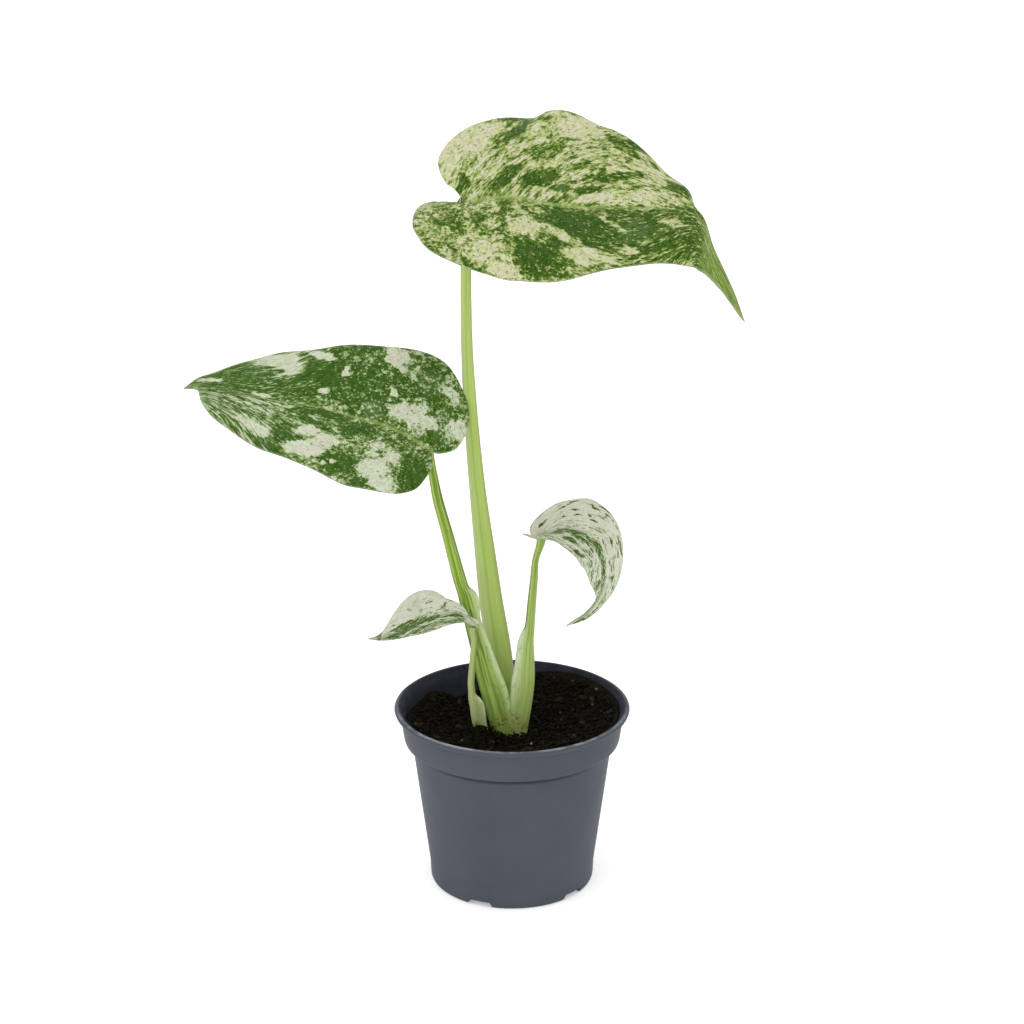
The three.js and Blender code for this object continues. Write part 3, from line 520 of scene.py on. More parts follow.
class Nodes:
    """Short way to fill a material's node tree."""

    def __init__(self, name, roughness=0.5, **settings):
        self.material = bpy.data.materials.new(name)
        self.material.use_nodes = True
        self.tree = self.material.node_tree
        self.shader = self.tree.nodes["Principled BSDF"]
        self.shader.inputs["Roughness"].default_value = roughness
        for socket, value in settings.items():
            self.shader.inputs[socket.replace("_", " ")].default_value = value

    def fill(self, socket, value):
        """Links a node's output to a socket, or writes a plain value in it."""
        if isinstance(value, bpy.types.NodeSocket):
            self.tree.links.new(value, socket)
        else:
            socket.default_value = value

    def add(self, kind, values=None, **settings):
        node = self.tree.nodes.new(kind)
        for name, value in settings.items():
            setattr(node, name, value)
        for socket, value in (values or {}).items():
            self.fill(node.inputs[socket], value)
        return node

    def weight(self, name):
        """Number that the mesh carries for each of its points."""
        return self.add("ShaderNodeAttribute", attribute_name=name).outputs["Fac"]

    def place(self):
        return self.add("ShaderNodeTexCoord").outputs["Object"]

    def squeezed(self, place, stretch):
        return self.add("ShaderNodeMapping", {"Vector": place, "Scale": stretch}).outputs[0]

    def sheet(self, name, stretch=(1, 1, 1), shift=0):
        """Place on a UV map, in its own millimetres, squeezed by stretch and then moved by shift."""
        place = self.add("ShaderNodeUVMap", uv_map=name)
        values = {"Vector": place.outputs[0], "Scale": stretch, "Location": (shift, shift, 0)}
        return self.add("ShaderNodeMapping", values).outputs[0]

    def noise(self, place, scale, detail=2, roughness=0.5, distortion=0):
        values = {"Vector": place, "Scale": scale, "Detail": detail}
        values.update({"Roughness": roughness, "Distortion": distortion})
        return self.add("ShaderNodeTexNoise", values).outputs["Fac"]

    def math(self, operation, first, second=0.0, third=0.0):
        return self.add("ShaderNodeMath", {0: first, 1: second, 2: third}, operation=operation).outputs[0]

    def times(self, first, second):
        return self.math("MULTIPLY", first, second)

    def spread(self, value, low, high, to_low=0.0, to_high=1.0):
        """Takes the range from low to high to that from to_low to to_high, and stays within it."""
        values = {"Value": value, "From Min": low, "From Max": high, "To Min": to_low, "To Max": to_high}
        return self.add("ShaderNodeMapRange", values).outputs[0]

    def choose(self, share, first, second):
        """Number that goes from first to second with share."""
        return self.math("MULTIPLY_ADD", self.math("SUBTRACT", second, first), share, first)

    def ramp(self, value, stops):
        node = self.add("ShaderNodeValToRGB", {"Fac": value})
        elements = node.color_ramp.elements
        while len(elements) < len(stops):
            elements.new(1)
        for element, (position, tone) in zip(elements, stops):
            element.position = position
            element.color = tone
        return node.outputs["Color"]

    def mix(self, share, first, second):
        node = self.add("ShaderNodeMix", data_type="RGBA")
        for index, value in ((0, share), (6, first), (7, second)):
            self.fill(node.inputs[index], value)
        return node.outputs[2]

    def bump(self, height, strength, distance):
        values = {"Height": height, "Strength": strength, "Distance": distance}
        bump = self.add("ShaderNodeBump", values)
        self.tree.links.new(bump.outputs[0], self.shader.inputs["Normal"])

    def paint(self, skin):
        self.tree.links.new(skin, self.shader.inputs["Base Color"])
        return self.material


def leaf_material(name, tones, light, crisp, sparse, cloudy, fine, rib_tone, under=False):
    """Marbled leaf skin, with tones that run from cream to the darkest green."""
    nodes = Nodes(name, roughness=0.45, Specular_IOR_Level=0.08)
    tones = [colour(*tone, light) for tone in tones]
    grain = nodes.weight("grain")
    flat = nodes.sheet("sheet")

    def marbling(scale, detail, squeeze, shift):
        """Noise in blotches where the grain is 0 and in streaks along the veins where it is 1."""
        scale *= fine
        blotches = nodes.noise(nodes.sheet("sheet", (1, 1, 1), shift), scale * 0.75, detail, 0.62, 0.6)
        streaks = nodes.noise(nodes.sheet("streaks", (1, squeeze, 1), shift), scale, detail, 0.62, 0.5)
        return nodes.choose(grain, blotches, streaks)

    # The leaf's marks, broken up by coarse and by fine marbling
    mixed = nodes.weight("patch")
    flecks = marbling(1.25, 4, 0.4, 10)
    for pattern in (marbling(0.48, 4, 0.3, 0), flecks):
        mixed = nodes.math("MULTIPLY_ADD", nodes.spread(pattern, 0.32, 0.68, -1, 1), 0.9, mixed)
    stops = list(zip((0.28, 0.4, 0.5, 0.59, 0.69, 0.82), tones))
    skin = nodes.ramp(nodes.spread(mixed, -1.5 / crisp, 1.5 / crisp), stops)

    # Clouds of mid green, warmer cream, and dark and pale flecks
    clouds = nodes.spread(marbling(0.85, 4, 0.4, 40), 0.47, 0.6, 0, cloudy)
    skin = nodes.mix(clouds, skin, tones[2])
    warm = nodes.spread(nodes.noise(flat, 0.2, 2, 0.5), 0.4, 0.6, 0, 0.6)
    warm = nodes.times(warm, nodes.spread(mixed, -0.6, 0, 1, 0))
    skin = nodes.mix(warm, skin, colour(228, 217, 202))
    dark = nodes.math("MULTIPLY_ADD", mixed, 0.035, marbling(1.7, 3, 0.45, 20))
    skin = nodes.mix(nodes.spread(dark, 0.54 + sparse, 0.58 + sparse, 0, 0.8), skin, tones[4])
    pale = nodes.math("MULTIPLY_ADD", mixed, -0.04, marbling(1.6, 3, 0.45, 30))
    skin = nodes.mix(nodes.spread(pale, 0.54, 0.59, 0, 0.85), skin, tones[1])

    # Young tip, painted greyish sheen, pale margin and midrib
    fresh = nodes.weight("fresh")
    young = nodes.times(fresh, nodes.spread(mixed, -0.3, 0.8, 0.4, 0.7))
    skin = nodes.mix(young, skin, colour(98, 138, 36))
    yellow = nodes.noise(nodes.sheet("sheet", (0.3, 2.2, 1)), 0.9, 3, 0.6)
    skin = nodes.mix(nodes.times(fresh, nodes.spread(yellow, 0.5, 0.6, 0, 0.8)), skin, colour(172, 190, 100))
    # Painted sheen: greyish patches where the leaf reflects the light
    painted_sheen = nodes.times(nodes.weight("painted_sheen"), nodes.spread(flecks, 0.38, 0.6, 0, 0.4))
    skin = nodes.mix(painted_sheen, skin, colour(112, 140, 98))
    margin = nodes.spread(nodes.weight("margin"), 0.05, 0.4, 0.5, 0)
    skin = nodes.mix(margin, skin, colour(182, 190, 160))
    lines = nodes.spread(nodes.noise(nodes.sheet("sheet", (0.12, 3.2, 1)), 1, 2, 0.5), 0.35, 0.65, 0.4, 1)
    skin = nodes.mix(nodes.times(nodes.weight("rib"), lines), skin, colour(*rib_tone))
    if under:
        skin = nodes.mix(0.45, skin, colour(168, 184, 134))
    nodes.bump(nodes.noise(flat, 0.8, 3, 0.5), 0.3, 0.0005)
    return nodes.paint(skin)


def stalk_material(name, round_tones, dark, light, amount, wing_tone, foot_tone, detail):
    """Stalk skin: tones from left to right with painted shade at both edges, streaks along it and dirt at
    its foot.
    """
    def upright(tone):
        return colour(*tone, STALK_LIGHT)

    nodes = Nodes(name, roughness=0.45, Specular_IOR_Level=0.12)
    dark, light, wing_tone, foot_tone = (upright(tone) for tone in (dark, light, wing_tone, foot_tone))
    place = nodes.add("ShaderNodeAttribute", attribute_name="turn").outputs["Vector"]
    parts = nodes.add("ShaderNodeSeparateXYZ", {0: place})
    # The darker tones at both ends of the ramp are painted shade where the stalk turns away from the light
    stops = [(position, upright(tone)) for position, tone in round_tones]
    skin = nodes.ramp(nodes.spread(parts.outputs[0], -1, 1), stops)

    # Streaks and freckles, and painted light that lightens the lower stalk where shade falls
    streaks = nodes.squeezed(place, (detail, detail, 0.03))
    fine = nodes.noise(streaks, 1.7, 3, 0.65, 0.15)
    wide = nodes.noise(streaks, 0.8, 2, 0.5, 0.15)
    skin = nodes.mix(nodes.spread(wide, 0.48, 0.6, 0, amount), skin, light)
    skin = nodes.mix(nodes.spread(fine, 0.5, 0.62, 0, amount), skin, dark)
    freckles = nodes.noise(nodes.squeezed(place, (2.2, 2.2, 0.3)), 1.6, 4, 0.65)
    skin = nodes.mix(nodes.spread(freckles, 0.6, 0.68, 0, amount * 0.6), skin, dark)
    # Painted light: the stalk turns lighter from 66 mm down to 50 mm, against the shade between the stalks
    low = nodes.spread(parts.outputs[2], 66, 50)
    skin = nodes.mix(nodes.times(low, 0.3), skin, light)

    # Sheath wing with its paler edge
    wing = nodes.weight("wing")
    sheath = nodes.mix(nodes.times(low, 0.85), wing_tone, light)
    skin = nodes.mix(nodes.times(wing, nodes.spread(fine, 0.35, 0.6, 0.9, 0.4)), skin, sheath)
    skin = nodes.mix(nodes.spread(wing, 0.9, 1, 0, 0.5), skin, wing_tone)
    skin = nodes.mix(nodes.times(wing, nodes.spread(freckles, 0.54, 0.64, 0, 0.4)), skin, dark)

    # Foot with grains of dirt
    foot = nodes.weight("foot")
    skin = nodes.mix(foot, skin, foot_tone)
    dirt = nodes.spread(nodes.noise(nodes.place(), 1300, 1, 0.4), 0.59, 0.65, 0, 0.9)
    skin = nodes.mix(nodes.times(nodes.spread(foot, 0, 0.5), dirt), skin, shade(66, 58, 26))
    nodes.bump(fine, 0.25, 0.0004)
    return nodes.paint(skin)


def pot_material():
    """Dull grey plastic, dusty, with painted shade inside and under its collar and a painted highlight on
    the lip.
    """
    nodes = Nodes("slate_grey_plastic", roughness=0.5, Specular_IOR_Level=0.07)
    place = nodes.place()
    haze = nodes.spread(nodes.noise(place, 45, 3, 0.6), 0.35, 0.65)
    skin = nodes.mix(haze, colour(84, 88, 97), colour(89, 93, 102))
    dust = nodes.spread(nodes.noise(place, 400, 3, 0.7), 0.62, 0.75, 0, 0.25)
    skin = nodes.mix(dust, skin, colour(98, 100, 108))
    # Painted shade in the step under the collar
    skin = nodes.mix(nodes.weight("collar_shade"), skin, colour(44, 47, 56))
    # Painted shade inside the pot and on the lip's inner top, mottled by noise
    shade_mottle = nodes.spread(nodes.noise(place, 300, 4, 0.7), 0.3, 0.7, 0.7, 1)
    skin = nodes.mix(nodes.times(nodes.weight("inside"), shade_mottle), skin, colour(30, 33, 41))
    # Painted highlight along the front of the lip, broken up by noise
    highlight_breakup = nodes.spread(nodes.noise(place, 160, 3, 0.6), 0.4, 0.6, 0.15, 0.9)
    skin = nodes.mix(nodes.times(nodes.weight("painted_highlight"), highlight_breakup), skin, colour(176, 180, 192))
    nodes.bump(nodes.noise(place, 120, 2, 0.5), 0.12, 0.0005)
    return nodes.paint(skin)


def soil_material(name, dark, warm, pale):
    nodes = Nodes(name, roughness=0.9, Specular_IOR_Level=0.06)
    place = nodes.place()
    coarse = nodes.noise(place, 220, 3, 0.65)
    fine = nodes.noise(place, 1300, 3, 0.7)
    skin = nodes.mix(nodes.spread(coarse, 0.46, 0.7), dark, warm)
    skin = nodes.mix(nodes.spread(fine, 0.56, 0.74, 0, 0.7), skin, pale)
    nodes.bump(fine, 0.7, 0.0008)
    return nodes.paint(skin)


def bit_material(name, first, second, scale=900):
    """Skin of loose bits, mottled with two colours."""
    nodes = Nodes(name, roughness=0.8, Specular_IOR_Level=0.1)
    mottle = nodes.noise(nodes.place(), scale, 3, 0.6)
    nodes.bump(mottle, 0.5, 0.0004)
    return nodes.paint(nodes.mix(nodes.spread(mottle, 0.35, 0.65), first, second))


# Pot

def inside_radius(part, height):
    radius, at, slope = part
    return radius + (height - at) * slope


def notch_foot(bm):
    """Raises the edge of the foot where a drainage notch is."""
    pitch = 360 / FOOT_NOTCHES
    for vert in bm.verts:
        radius = math.hypot(vert.co.x, vert.co.y) / MM
        if radius < FOOT_RING_RADIUS or vert.co.z > FOOT_NOTCH_HEIGHT * MM:
            continue
        angle = math.degrees(math.atan2(vert.co.y, vert.co.x))
        off = (angle - FIRST_NOTCH_ANGLE + pitch / 2) % pitch - pitch / 2
        if radius * math.radians(abs(off)) < FOOT_NOTCH_WIDTH / 2:
            vert.co.z = FOOT_NOTCH_HEIGHT * MM


def mark_pot(bm):
    """Marks painted shade inside and under the collar, and a painted highlight on the lip, for the pot's
    skin.
    """
    inside_shade_layer = bm.verts.layers.float.new("inside")
    collar_shade_layer = bm.verts.layers.float.new("collar_shade")
    highlight_layer = bm.verts.layers.float.new("painted_highlight")
    for vert in bm.verts:
        radius = math.hypot(vert.co.x, vert.co.y) / MM
        height = vert.co.z / MM
        # Painted shade inside the pot, darkest towards the soil, and on the lip's inner top
        if height > 38 and radius < inside_radius(COLLAR_INSIDE, height) + 0.02:
            vert[inside_shade_layer] = 0.85 + 0.15 * smooth((44 - height) / 6)
        elif height > 45.9 and radius < 29.2:
            vert[inside_shade_layer] = 0.9
        # Painted shade in the step under the collar
        elif 37.5 < height < 38.6 and radius > 25:
            vert[collar_shade_layer] = 0.9
        # Painted highlight along the lip's top edge, strongest at the front
        if height > 47.2 and 29 < radius < 29.6:
            vert[highlight_layer] = 0.2 + 0.8 * smooth(-vert.co.y / MM / 20)


def drill(pot, material):
    """Cuts the drain holes through the pot's floor."""
    bm = bmesh.new()
    for hole in range(DRAIN_HOLES):
        angle = hole / DRAIN_HOLES * 2 * math.pi
        x = DRAIN_CIRCLE_RADIUS * MM * math.cos(angle)
        y = DRAIN_CIRCLE_RADIUS * MM * math.sin(angle)
        bmesh.ops.create_cone(
            bm, cap_ends=True, segments=32, radius1=DRAIN_HOLE_RADIUS * MM, radius2=DRAIN_HOLE_RADIUS * MM,
            depth=6 * MM, matrix=Matrix.Translation((x, y, FLOOR / 2 * MM)),
        )
    drills = make_object("drills", bm, [material])
    cut = pot.modifiers.new("drain holes", "BOOLEAN")
    cut.operation = "DIFFERENCE"
    cut.object = drills
    cut.solver = "EXACT"
    bpy.context.view_layer.update()
    drilled = bpy.data.meshes.new_from_object(pot.evaluated_get(bpy.context.evaluated_depsgraph_get()))
    pot.modifiers.clear()
    pot.data = drilled
    bpy.data.objects.remove(drills)


def make_pot(material):
    """Turned pot: its profile is spun, its foot notched and its floor drilled."""
    profile = [
        [0, 0], [9, 0], [9.6, 0.8], [16.6, 0.8], [17.2, 0], [BASE_RADIUS, 0], [20.7, 0.3], [20.95, 0.9],
        [21, 1.4], [21.15, 4.8], [23.25, 20.7], [25.15, 35.2], [25.4, 36.6], [25.8, 37.7], [26.3, 38.1],
        [26.9, 38.3], [27.35, 38.7], [27.6, 39.4], [28, 42.2], [28.35, 45.4], [28.45, 45.9], [28.75, 46.15],
        [29.4, 46.2], [29.8, 46.4], [RIM_RADIUS, 46.9], [29.85, 47.3], [29.5, 47.52], [29.1, POT_HEIGHT],
        [28.75, 47.48], [28.45, 47.15], [28.15, 46.7], [27.5, 46], [26.9, 42.6], [26.3, 39.3], [25.7, 38.8],
        [25.1, 38.55], [24.7, 37.9], [24.5, 37], [22.5, 21.5], [21.15 - WALL, 4.8], [20.15, 3], [19.8, 2.1],
        [19.3, FLOOR], [0, FLOOR],
    ]
    bm = turned(profile, 200)
    notch_foot(bm)
    mark_pot(bm)
    bmesh.ops.recalc_face_normals(bm, faces=bm.faces)
    pot = make_object("pot_shell", bm, [material])
    pot.data.set_sharp_from_angle(angle=math.radians(50))
    drill(pot, material)
    return pot


# Soil

def soil_height(x, y):
    """Height of the soil's lumpy top, which rises from the stalks to the wall."""
    mounds = 0
    for at_x, at_y, rise, radius in SOIL_MOUNDS:
        mounds += rise * math.exp(-(math.hypot(x - at_x, y - at_y) / radius) ** 2)
    share = min(math.hypot(x, y) / SOIL_RADIUS, 1)
    turn = (math.degrees(math.atan2(y, x)) + 180) / 360 * (len(SOIL_RISE) - 1)
    lumps = math.sin(0.9 * x + 1.3 * y) * math.sin(1.5 * x - 0.7 * y)
    lumps += 0.6 * math.sin(2.1 * y + 0.4 * x)
    to_wall = between(SOIL_RISE, turn)[0] * share ** 1.8
    return SOIL_CENTRE_HEIGHT + to_wall + mounds + LUMP_HEIGHT * lumps * (1 - share ** 6)


def make_soil(material):
    """Turned body of soil. Its top is spun flat, high up, and then laid down in lumps and crumbs."""
    rings = 96
    high_up = 100
    bottom = FLOOR + CLEARANCE
    foot = inside_radius(WALL_INSIDE, 4.8) - CLEARANCE
    shoulder = inside_radius(WALL_INSIDE, 37) - CLEARANCE
    profile = [[0, bottom], [18.9, bottom], [foot, 4.9], [shoulder, 37], [shoulder + 0.5, 38.6]]
    profile += [[SOIL_RADIUS * (1 - ring / rings), high_up] for ring in range(rings + 1)]
    bm = turned(profile, 300)
    for vert in bm.verts:
        if vert.co.z < 0.99 * high_up * MM:
            continue
        x, y = vert.co.x / MM, vert.co.y / MM
        share = math.hypot(x, y) / SOIL_RADIUS
        height = soil_height(x, y)
        collar = inside_radius(COLLAR_INSIDE, height) - CLEARANCE
        outwards = 1 + (collar / SOIL_RADIUS - 1) * share
        inside = min((1 - share) * 12, 1)
        crumbs = noise.turbulence(Vector((x, y, 0)) * 0.55, 4, False) - 0.8
        grains = noise.cell(Vector((x + 9, y, height)) * 1.4) * 0.25
        grit = noise.noise(Vector((x, y, 3)) * 2.6) * 0.3
        lift = (0.75 * crumbs + grains + grit) * inside
        vert.co = (x * outwards * MM, y * outwards * MM, (height + lift) * MM)
    bmesh.ops.recalc_face_normals(bm, faces=bm.faces)
    return make_object("soil_bed", bm, [material])


def anywhere(chance, reach):
    """Random place on the soil, within reach of the middle."""
    distance = reach * math.sqrt(chance.random())
    angle = chance.uniform(0, 2 * math.pi)
    return distance * math.cos(angle), distance * math.sin(angle)


def scatter(name, material, count, sizes, flat, seed, detail=1, rough=0.3, places=None):
    """Loose bits lying on the soil: lumpy balls, flattened and turned every way."""
    chance = random.Random(seed)
    bm = bmesh.new()
    for index in range(count):
        x, y = places[index] if places else anywhere(chance, CRUMB_REACH)
        size = chance.uniform(*sizes)
        length = size * chance.uniform(1, 1.9)
        height = size * chance.uniform(*flat)
        ball = bmesh.ops.create_icosphere(bm, subdivisions=detail, radius=1)["verts"]
        heading = Matrix.Rotation(chance.uniform(0, math.pi), 4, "Z")
        turn = heading @ Matrix.Rotation(chance.uniform(-0.6, 0.6), 4, "X")
        middle = Vector((x, y, soil_height(x, y) + 0.12))
        for vert in ball:
            swell = 1 + rough * noise.noise(vert.co * 1.7 + Vector((index * 3.1, seed, 0)))
            point = Vector((vert.co.x * length, vert.co.y * size, vert.co.z * height)) * swell
            vert.co = (turn @ point + middle) * MM
    return make_object(name, bm, [material], rounded=False)


def make_fibres(material, count, seed):
    """Thin root and bark fibres lying on the soil, each a small grid rolled up and drawn to points."""
    chance = random.Random(seed)
    bm = bmesh.new()
    for _ in range(count):
        x, y = anywhere(chance, FIBRE_REACH)
        length = chance.uniform(1.2, 3.6)
        heading = chance.uniform(0, 2 * math.pi)
        bend = chance.uniform(-0.25, 0.25)
        thick = chance.uniform(0.06, 0.13)
        for vert in bmesh.ops.create_grid(bm, x_segments=5, y_segments=6, size=1)["verts"]:
            share = vert.co.y
            around = math.pi * vert.co.x
            radius = thick * math.sqrt(max(1 - share ** 4, 0))
            turn = heading + bend * share * 2
            aside = radius * math.cos(around)
            px = x + math.cos(turn) * share * length / 2 - aside * math.sin(turn)
            py = y + math.sin(turn) * share * length / 2 + aside * math.cos(turn)
            vert.co = Vector((px, py, soil_height(px, py) + 0.35 + radius * math.sin(around))) * MM
    bmesh.ops.remove_doubles(bm, verts=bm.verts, dist=1e-7)
    bmesh.ops.recalc_face_normals(bm, faces=bm.faces)
    return make_object("soil_fibres", bm, [material])


# Stalks

def make_stalk(name, node, material):
    """Stalk: a grid rolled up round the stalk's line, with the sheath's wing pulled out of its section."""
    rows = STALKS[node]
    count = len(rows) - 1
    bm = bmesh.new()
    turn_layer = bm.verts.layers.float_vector.new("turn")
    wing_layer = bm.verts.layers.float.new("wing")
    foot_layer = bm.verts.layers.float.new("foot")
    bmesh.ops.create_grid(bm, x_segments=72, y_segments=count * 8, size=1)
    for vert in bm.verts:
        angle = math.radians(90 + 180 * (vert.co.x + 1))
        position = (vert.co.y + 1) / 2 * count
        x, y, z, half_width, half_depth, wing = between(rows, position)
        ahead = Vector(between(rows, min(position + 0.1, count))[:3])
        down = (ahead - Vector(between(rows, max(position - 0.1, 0))[:3])).normalized()
        right = (Vector((1, 0, 0)) - down * down.x).normalized()
        back = right.cross(down)
        ellipse = 1 / math.hypot(math.cos(angle) / half_width, math.sin(angle) / half_depth)
        off = (math.degrees(angle) - WING_ANGLES[node] + 540) % 360 - 180
        edge = math.exp(-((off / WING_SPREAD) ** 2))
        radius = ellipse + max(wing, 0) * edge
        point = Vector((x, y, z)) + right * radius * math.cos(angle) + back * radius * math.sin(angle)
        vert.co = point * MM
        vert[turn_layer] = (math.cos(angle), math.sin(angle), z)
        vert[wing_layer] = smooth(edge * 1.1) * smooth(wing / 0.9)
        vert[foot_layer] = 0.6 * smooth((49 - z) / 6 + 0.5 * noise.noise(point * 0.9))
    bmesh.ops.remove_doubles(bm, verts=bm.verts, dist=1e-6)
    open_edges = [edge for edge in bm.edges if edge.is_boundary]
    bmesh.ops.holes_fill(bm, edges=open_edges, sides=0)
    bmesh.ops.recalc_face_normals(bm, faces=bm.faces)
    return make_object(name, bm, [material])


# Leaves

def leaf_length(node):
    pieces = 200
    rows = MIDRIBS[node]
    last = len(rows) - 1
    points = [Vector(between(rows, piece / pieces * last)[:3]) for piece in range(pieces + 1)]
    return sum((after - before).length for before, after in zip(points, points[1:]))


def blade_point(node, length, side, along, across, lift):
    """Place and upward normal of a point given on the leaf's flat pattern."""
    rows = MIDRIBS[node]
    share = min(max(along / length, 0), 1)
    position = share * (len(rows) - 1)
    x, y, z, heading, slope, fold_right, fold_left = between(rows, position)
    forward = (Vector(between(rows, position + 0.001)[:3]) - Vector((x, y, z))).normalized()
    point = Vector((x, y, z)) + forward * min(along, 0)
    turn, tilt = math.radians(heading), math.radians(slope)
    right = Vector((math.cos(tilt) * math.cos(turn), math.cos(tilt) * math.sin(turn), math.sin(tilt)))
    up = right.cross(forward).normalized()
    fold = math.radians(fold_right if side > 0 else fold_left)
    base, tip = CURLS[node]["right" if side > 0 else "left"]
    curl = base + (tip - base) * share or 1e-6
    angle = fold + curl * across
    point += right * (side * (math.sin(angle) - math.sin(fold)) / curl)
    point += up * ((math.cos(fold) - math.cos(angle)) / curl)
    normal = up * math.cos(angle) - right * (side * math.sin(angle))
    return point + normal * lift, normal


def green_here(node, along, across):
    """How green the leaf is at a point of its flat pattern, from its marks."""
    wander = noise.noise_vector(Vector((along, across, 5)) * 0.45)
    wander += 0.6 * noise.noise_vector(Vector((along, across, 9)) * 1.1)
    along += wander.x * 0.9
    across += wander.y * 0.7
    green = BARE[node]
    for at, off, half_length, half_width, heading, amount in MARKS[node]:
        turn = math.radians(heading)
        there = (along - at) * math.cos(turn) + (across - off) * math.sin(turn)
        aside = (across - off) * math.cos(turn) - (along - at) * math.sin(turn)
        distance = math.hypot(there / half_length, aside / half_width)
        edge = 0.35 + 0.25 * min(half_width, 3)
        green += (amount - green) * smooth((1 + edge / 2 - distance) / edge)
    return green


def painted_sheen_here(node, along, across):
    """How much painted greyish sheen the leaf has at a point of its flat pattern."""
    most = 0
    for at, off, radius in PAINTED_SHEEN[node]:
        distance = math.hypot(along - at, across - off) / radius
        most = max(most, smooth(1.6 - distance))
    return most


def grain_here(node, side, along):
    """How streaky the marbling is."""
    right_half, left_half, start, end = GRAIN[node]
    streaky = right_half if side > 0 else left_half
    return streaky + (1 - streaky) * smooth((along - start) / (end - start))


def pinnate_place(along, across, length):
    """Place on a leaf counted across its slanting side veins, and along them."""
    origin = along - 0.7 * across - 0.012 * across ** 2
    from_base = math.hypot(along, across)
    if origin < 0:
        origin *= 15 / (from_base + 4)
    to_tip = 0.3 * length - 40 * math.atan2(across, max(length - along, 6))
    origin += (to_tip - origin) * smooth(along / length / 0.75)
    return origin, from_base


def arched_place(along, across, length):
    """Place on a leaf counted across its arched veins, which run from base to tip, and along them."""
    at_base = math.atan2(across, along + 2)
    at_tip = math.atan2(across, max(length + 1 - along, 0.5))
    return (at_base + at_tip) * 15, math.hypot(along + 2, across)


def make_leaf(name, node, rows, columns, rib_width, vein_place, materials):
    """Blade: a grid whose rows run along the veins, from margin to midrib to margin."""
    length = leaf_length(node)
    veins = VEINS[node] + [[length, length, TIP_HALF_WIDTH, 0, length, TIP_HALF_WIDTH, 0]]
    bm = bmesh.new()
    layers = {}
    for layer in ("patch", "rib", "margin", "painted_sheen", "grain", "fresh"):
        layers[layer] = bm.verts.layers.float.new(layer)
    thick_layer = bm.verts.layers.deform.verify()
    streak_map = bm.loops.layers.uv.new("streaks")
    sheet_map = bm.loops.layers.uv.new("sheet")
    bmesh.ops.create_grid(bm, x_segments=columns, y_segments=rows, size=1)
    places = {}
    for vert in bm.verts:
        # Place on the flat pattern
        side = 1 if vert.co.x >= 0 else -1
        share = min(abs(vert.co.x), 1)
        if share < 1e-5:
            share = 0
        position = (vert.co.y + 1) / 2 * (len(veins) - 1)
        vein = between(veins, position)
        start = vein[0]
        along, across, lift = vein[1:4] if side > 0 else vein[4:7]
        bend = VEIN_BOW * min(start / 10, 1) - BASE_VEIN_BOW * max(1 - start / 1.3, 0)
        bow = bend * across * 4 * share * (1 - share)
        flat_along = start + (along - start) * share - bow
        flat_across = across * share
        point, normal = blade_point(node, length, side, flat_along, flat_across, lift * share * share)

        # Thickness, which fades to the margin, the notch and the tip
        from_margin = abs(across) * (1 - share)
        from_rib = math.hypot(min(flat_along, 0), flat_across)
        from_notch = 4 * share * position
        fade = 1 - 0.75 * smooth(start / length * 1.5)
        rib = math.exp(-((from_rib / (rib_width * fade + 0.12)) ** 4))
        groove = GROOVE_DEPTH * math.exp(-((from_rib / (rib_width * 2.4)) ** 2))
        from_edge = max(min(from_margin, from_notch), MIDRIB_REACH - from_rib)
        thin = THIN_EDGE + (1 - THIN_EDGE) * smooth(from_edge / EDGE_TAPER)
        thin *= THIN_TIP + (1 - THIN_TIP) * smooth((length - start) / TIP_TAPER)
        ridge = MIDRIB_DEPTH * math.exp(-((from_rib / MIDRIB_REACH) ** 2)) * thin * fade
        raised = BLADE_THICKNESS * thin / 2 + (RIB_HEIGHT * rib * fade - groove) * thin
        vert.co = (point + normal * raised) * MM

        # What the skin reads
        vert[thick_layer][0] = (BLADE_THICKNESS * thin + ridge) / (BLADE_THICKNESS + MIDRIB_DEPTH)
        vert[layers["patch"]] = green_here(node, flat_along, flat_across * side)
        vert[layers["painted_sheen"]] = painted_sheen_here(node, flat_along, flat_across * side)
        vert[layers["grain"]] = grain_here(node, side, flat_along)
        vert[layers["fresh"]] = smooth((flat_along - FRESH[node]) / 14)
        vert[layers["rib"]] = rib * (0.35 + 0.65 * fade)
        vert[layers["margin"]] = from_margin
        across_veins, along_veins = vein_place(flat_along, flat_across, length)
        places[vert] = ((across_veins + 50 * side, along_veins), (flat_along, flat_across * side))
    for face in bm.faces:
        for loop in face.loops:
            loop[streak_map].uv, loop[sheet_map].uv = places[loop.vert]
    bmesh.ops.recalc_face_normals(bm, faces=bm.faces)
    leaf = make_object(name, bm, materials)
    leaf.vertex_groups.new(name="thick")
    skin = leaf.modifiers.new("thickness", "SOLIDIFY")
    skin.thickness = (BLADE_THICKNESS + MIDRIB_DEPTH) * MM
    skin.offset = -1
    skin.vertex_group = "thick"
    skin.material_offset = 1
    face_upwards(leaf, node, length)
    return leaf


def face_upwards(leaf, node, length):
    """Turns the sheet's faces over if they face down."""
    point, up = blade_point(node, length, 1, 10, 2, 0)
    nearest = min(leaf.data.polygons, key=lambda face: (face.center - point * MM).length)
    if nearest.normal.dot(up) < 0:
        leaf.data.flip_normals()


# Room

def make_floor():
    """Pale floor, which glows a little so that it stays as white as what lies behind it."""
    skin = Nodes(
        "pale_floor", roughness=0.9, Specular_IOR_Level=0, Base_Color=(0.95, 0.95, 0.95, 1),
        Emission_Color=(1, 1, 1, 1), Emission_Strength=0.3,
    )
    bm = bmesh.new()
    bmesh.ops.create_grid(bm, x_segments=1, y_segments=1, size=3)
    return make_object("floor", bm, [skin.material], rounded=False)


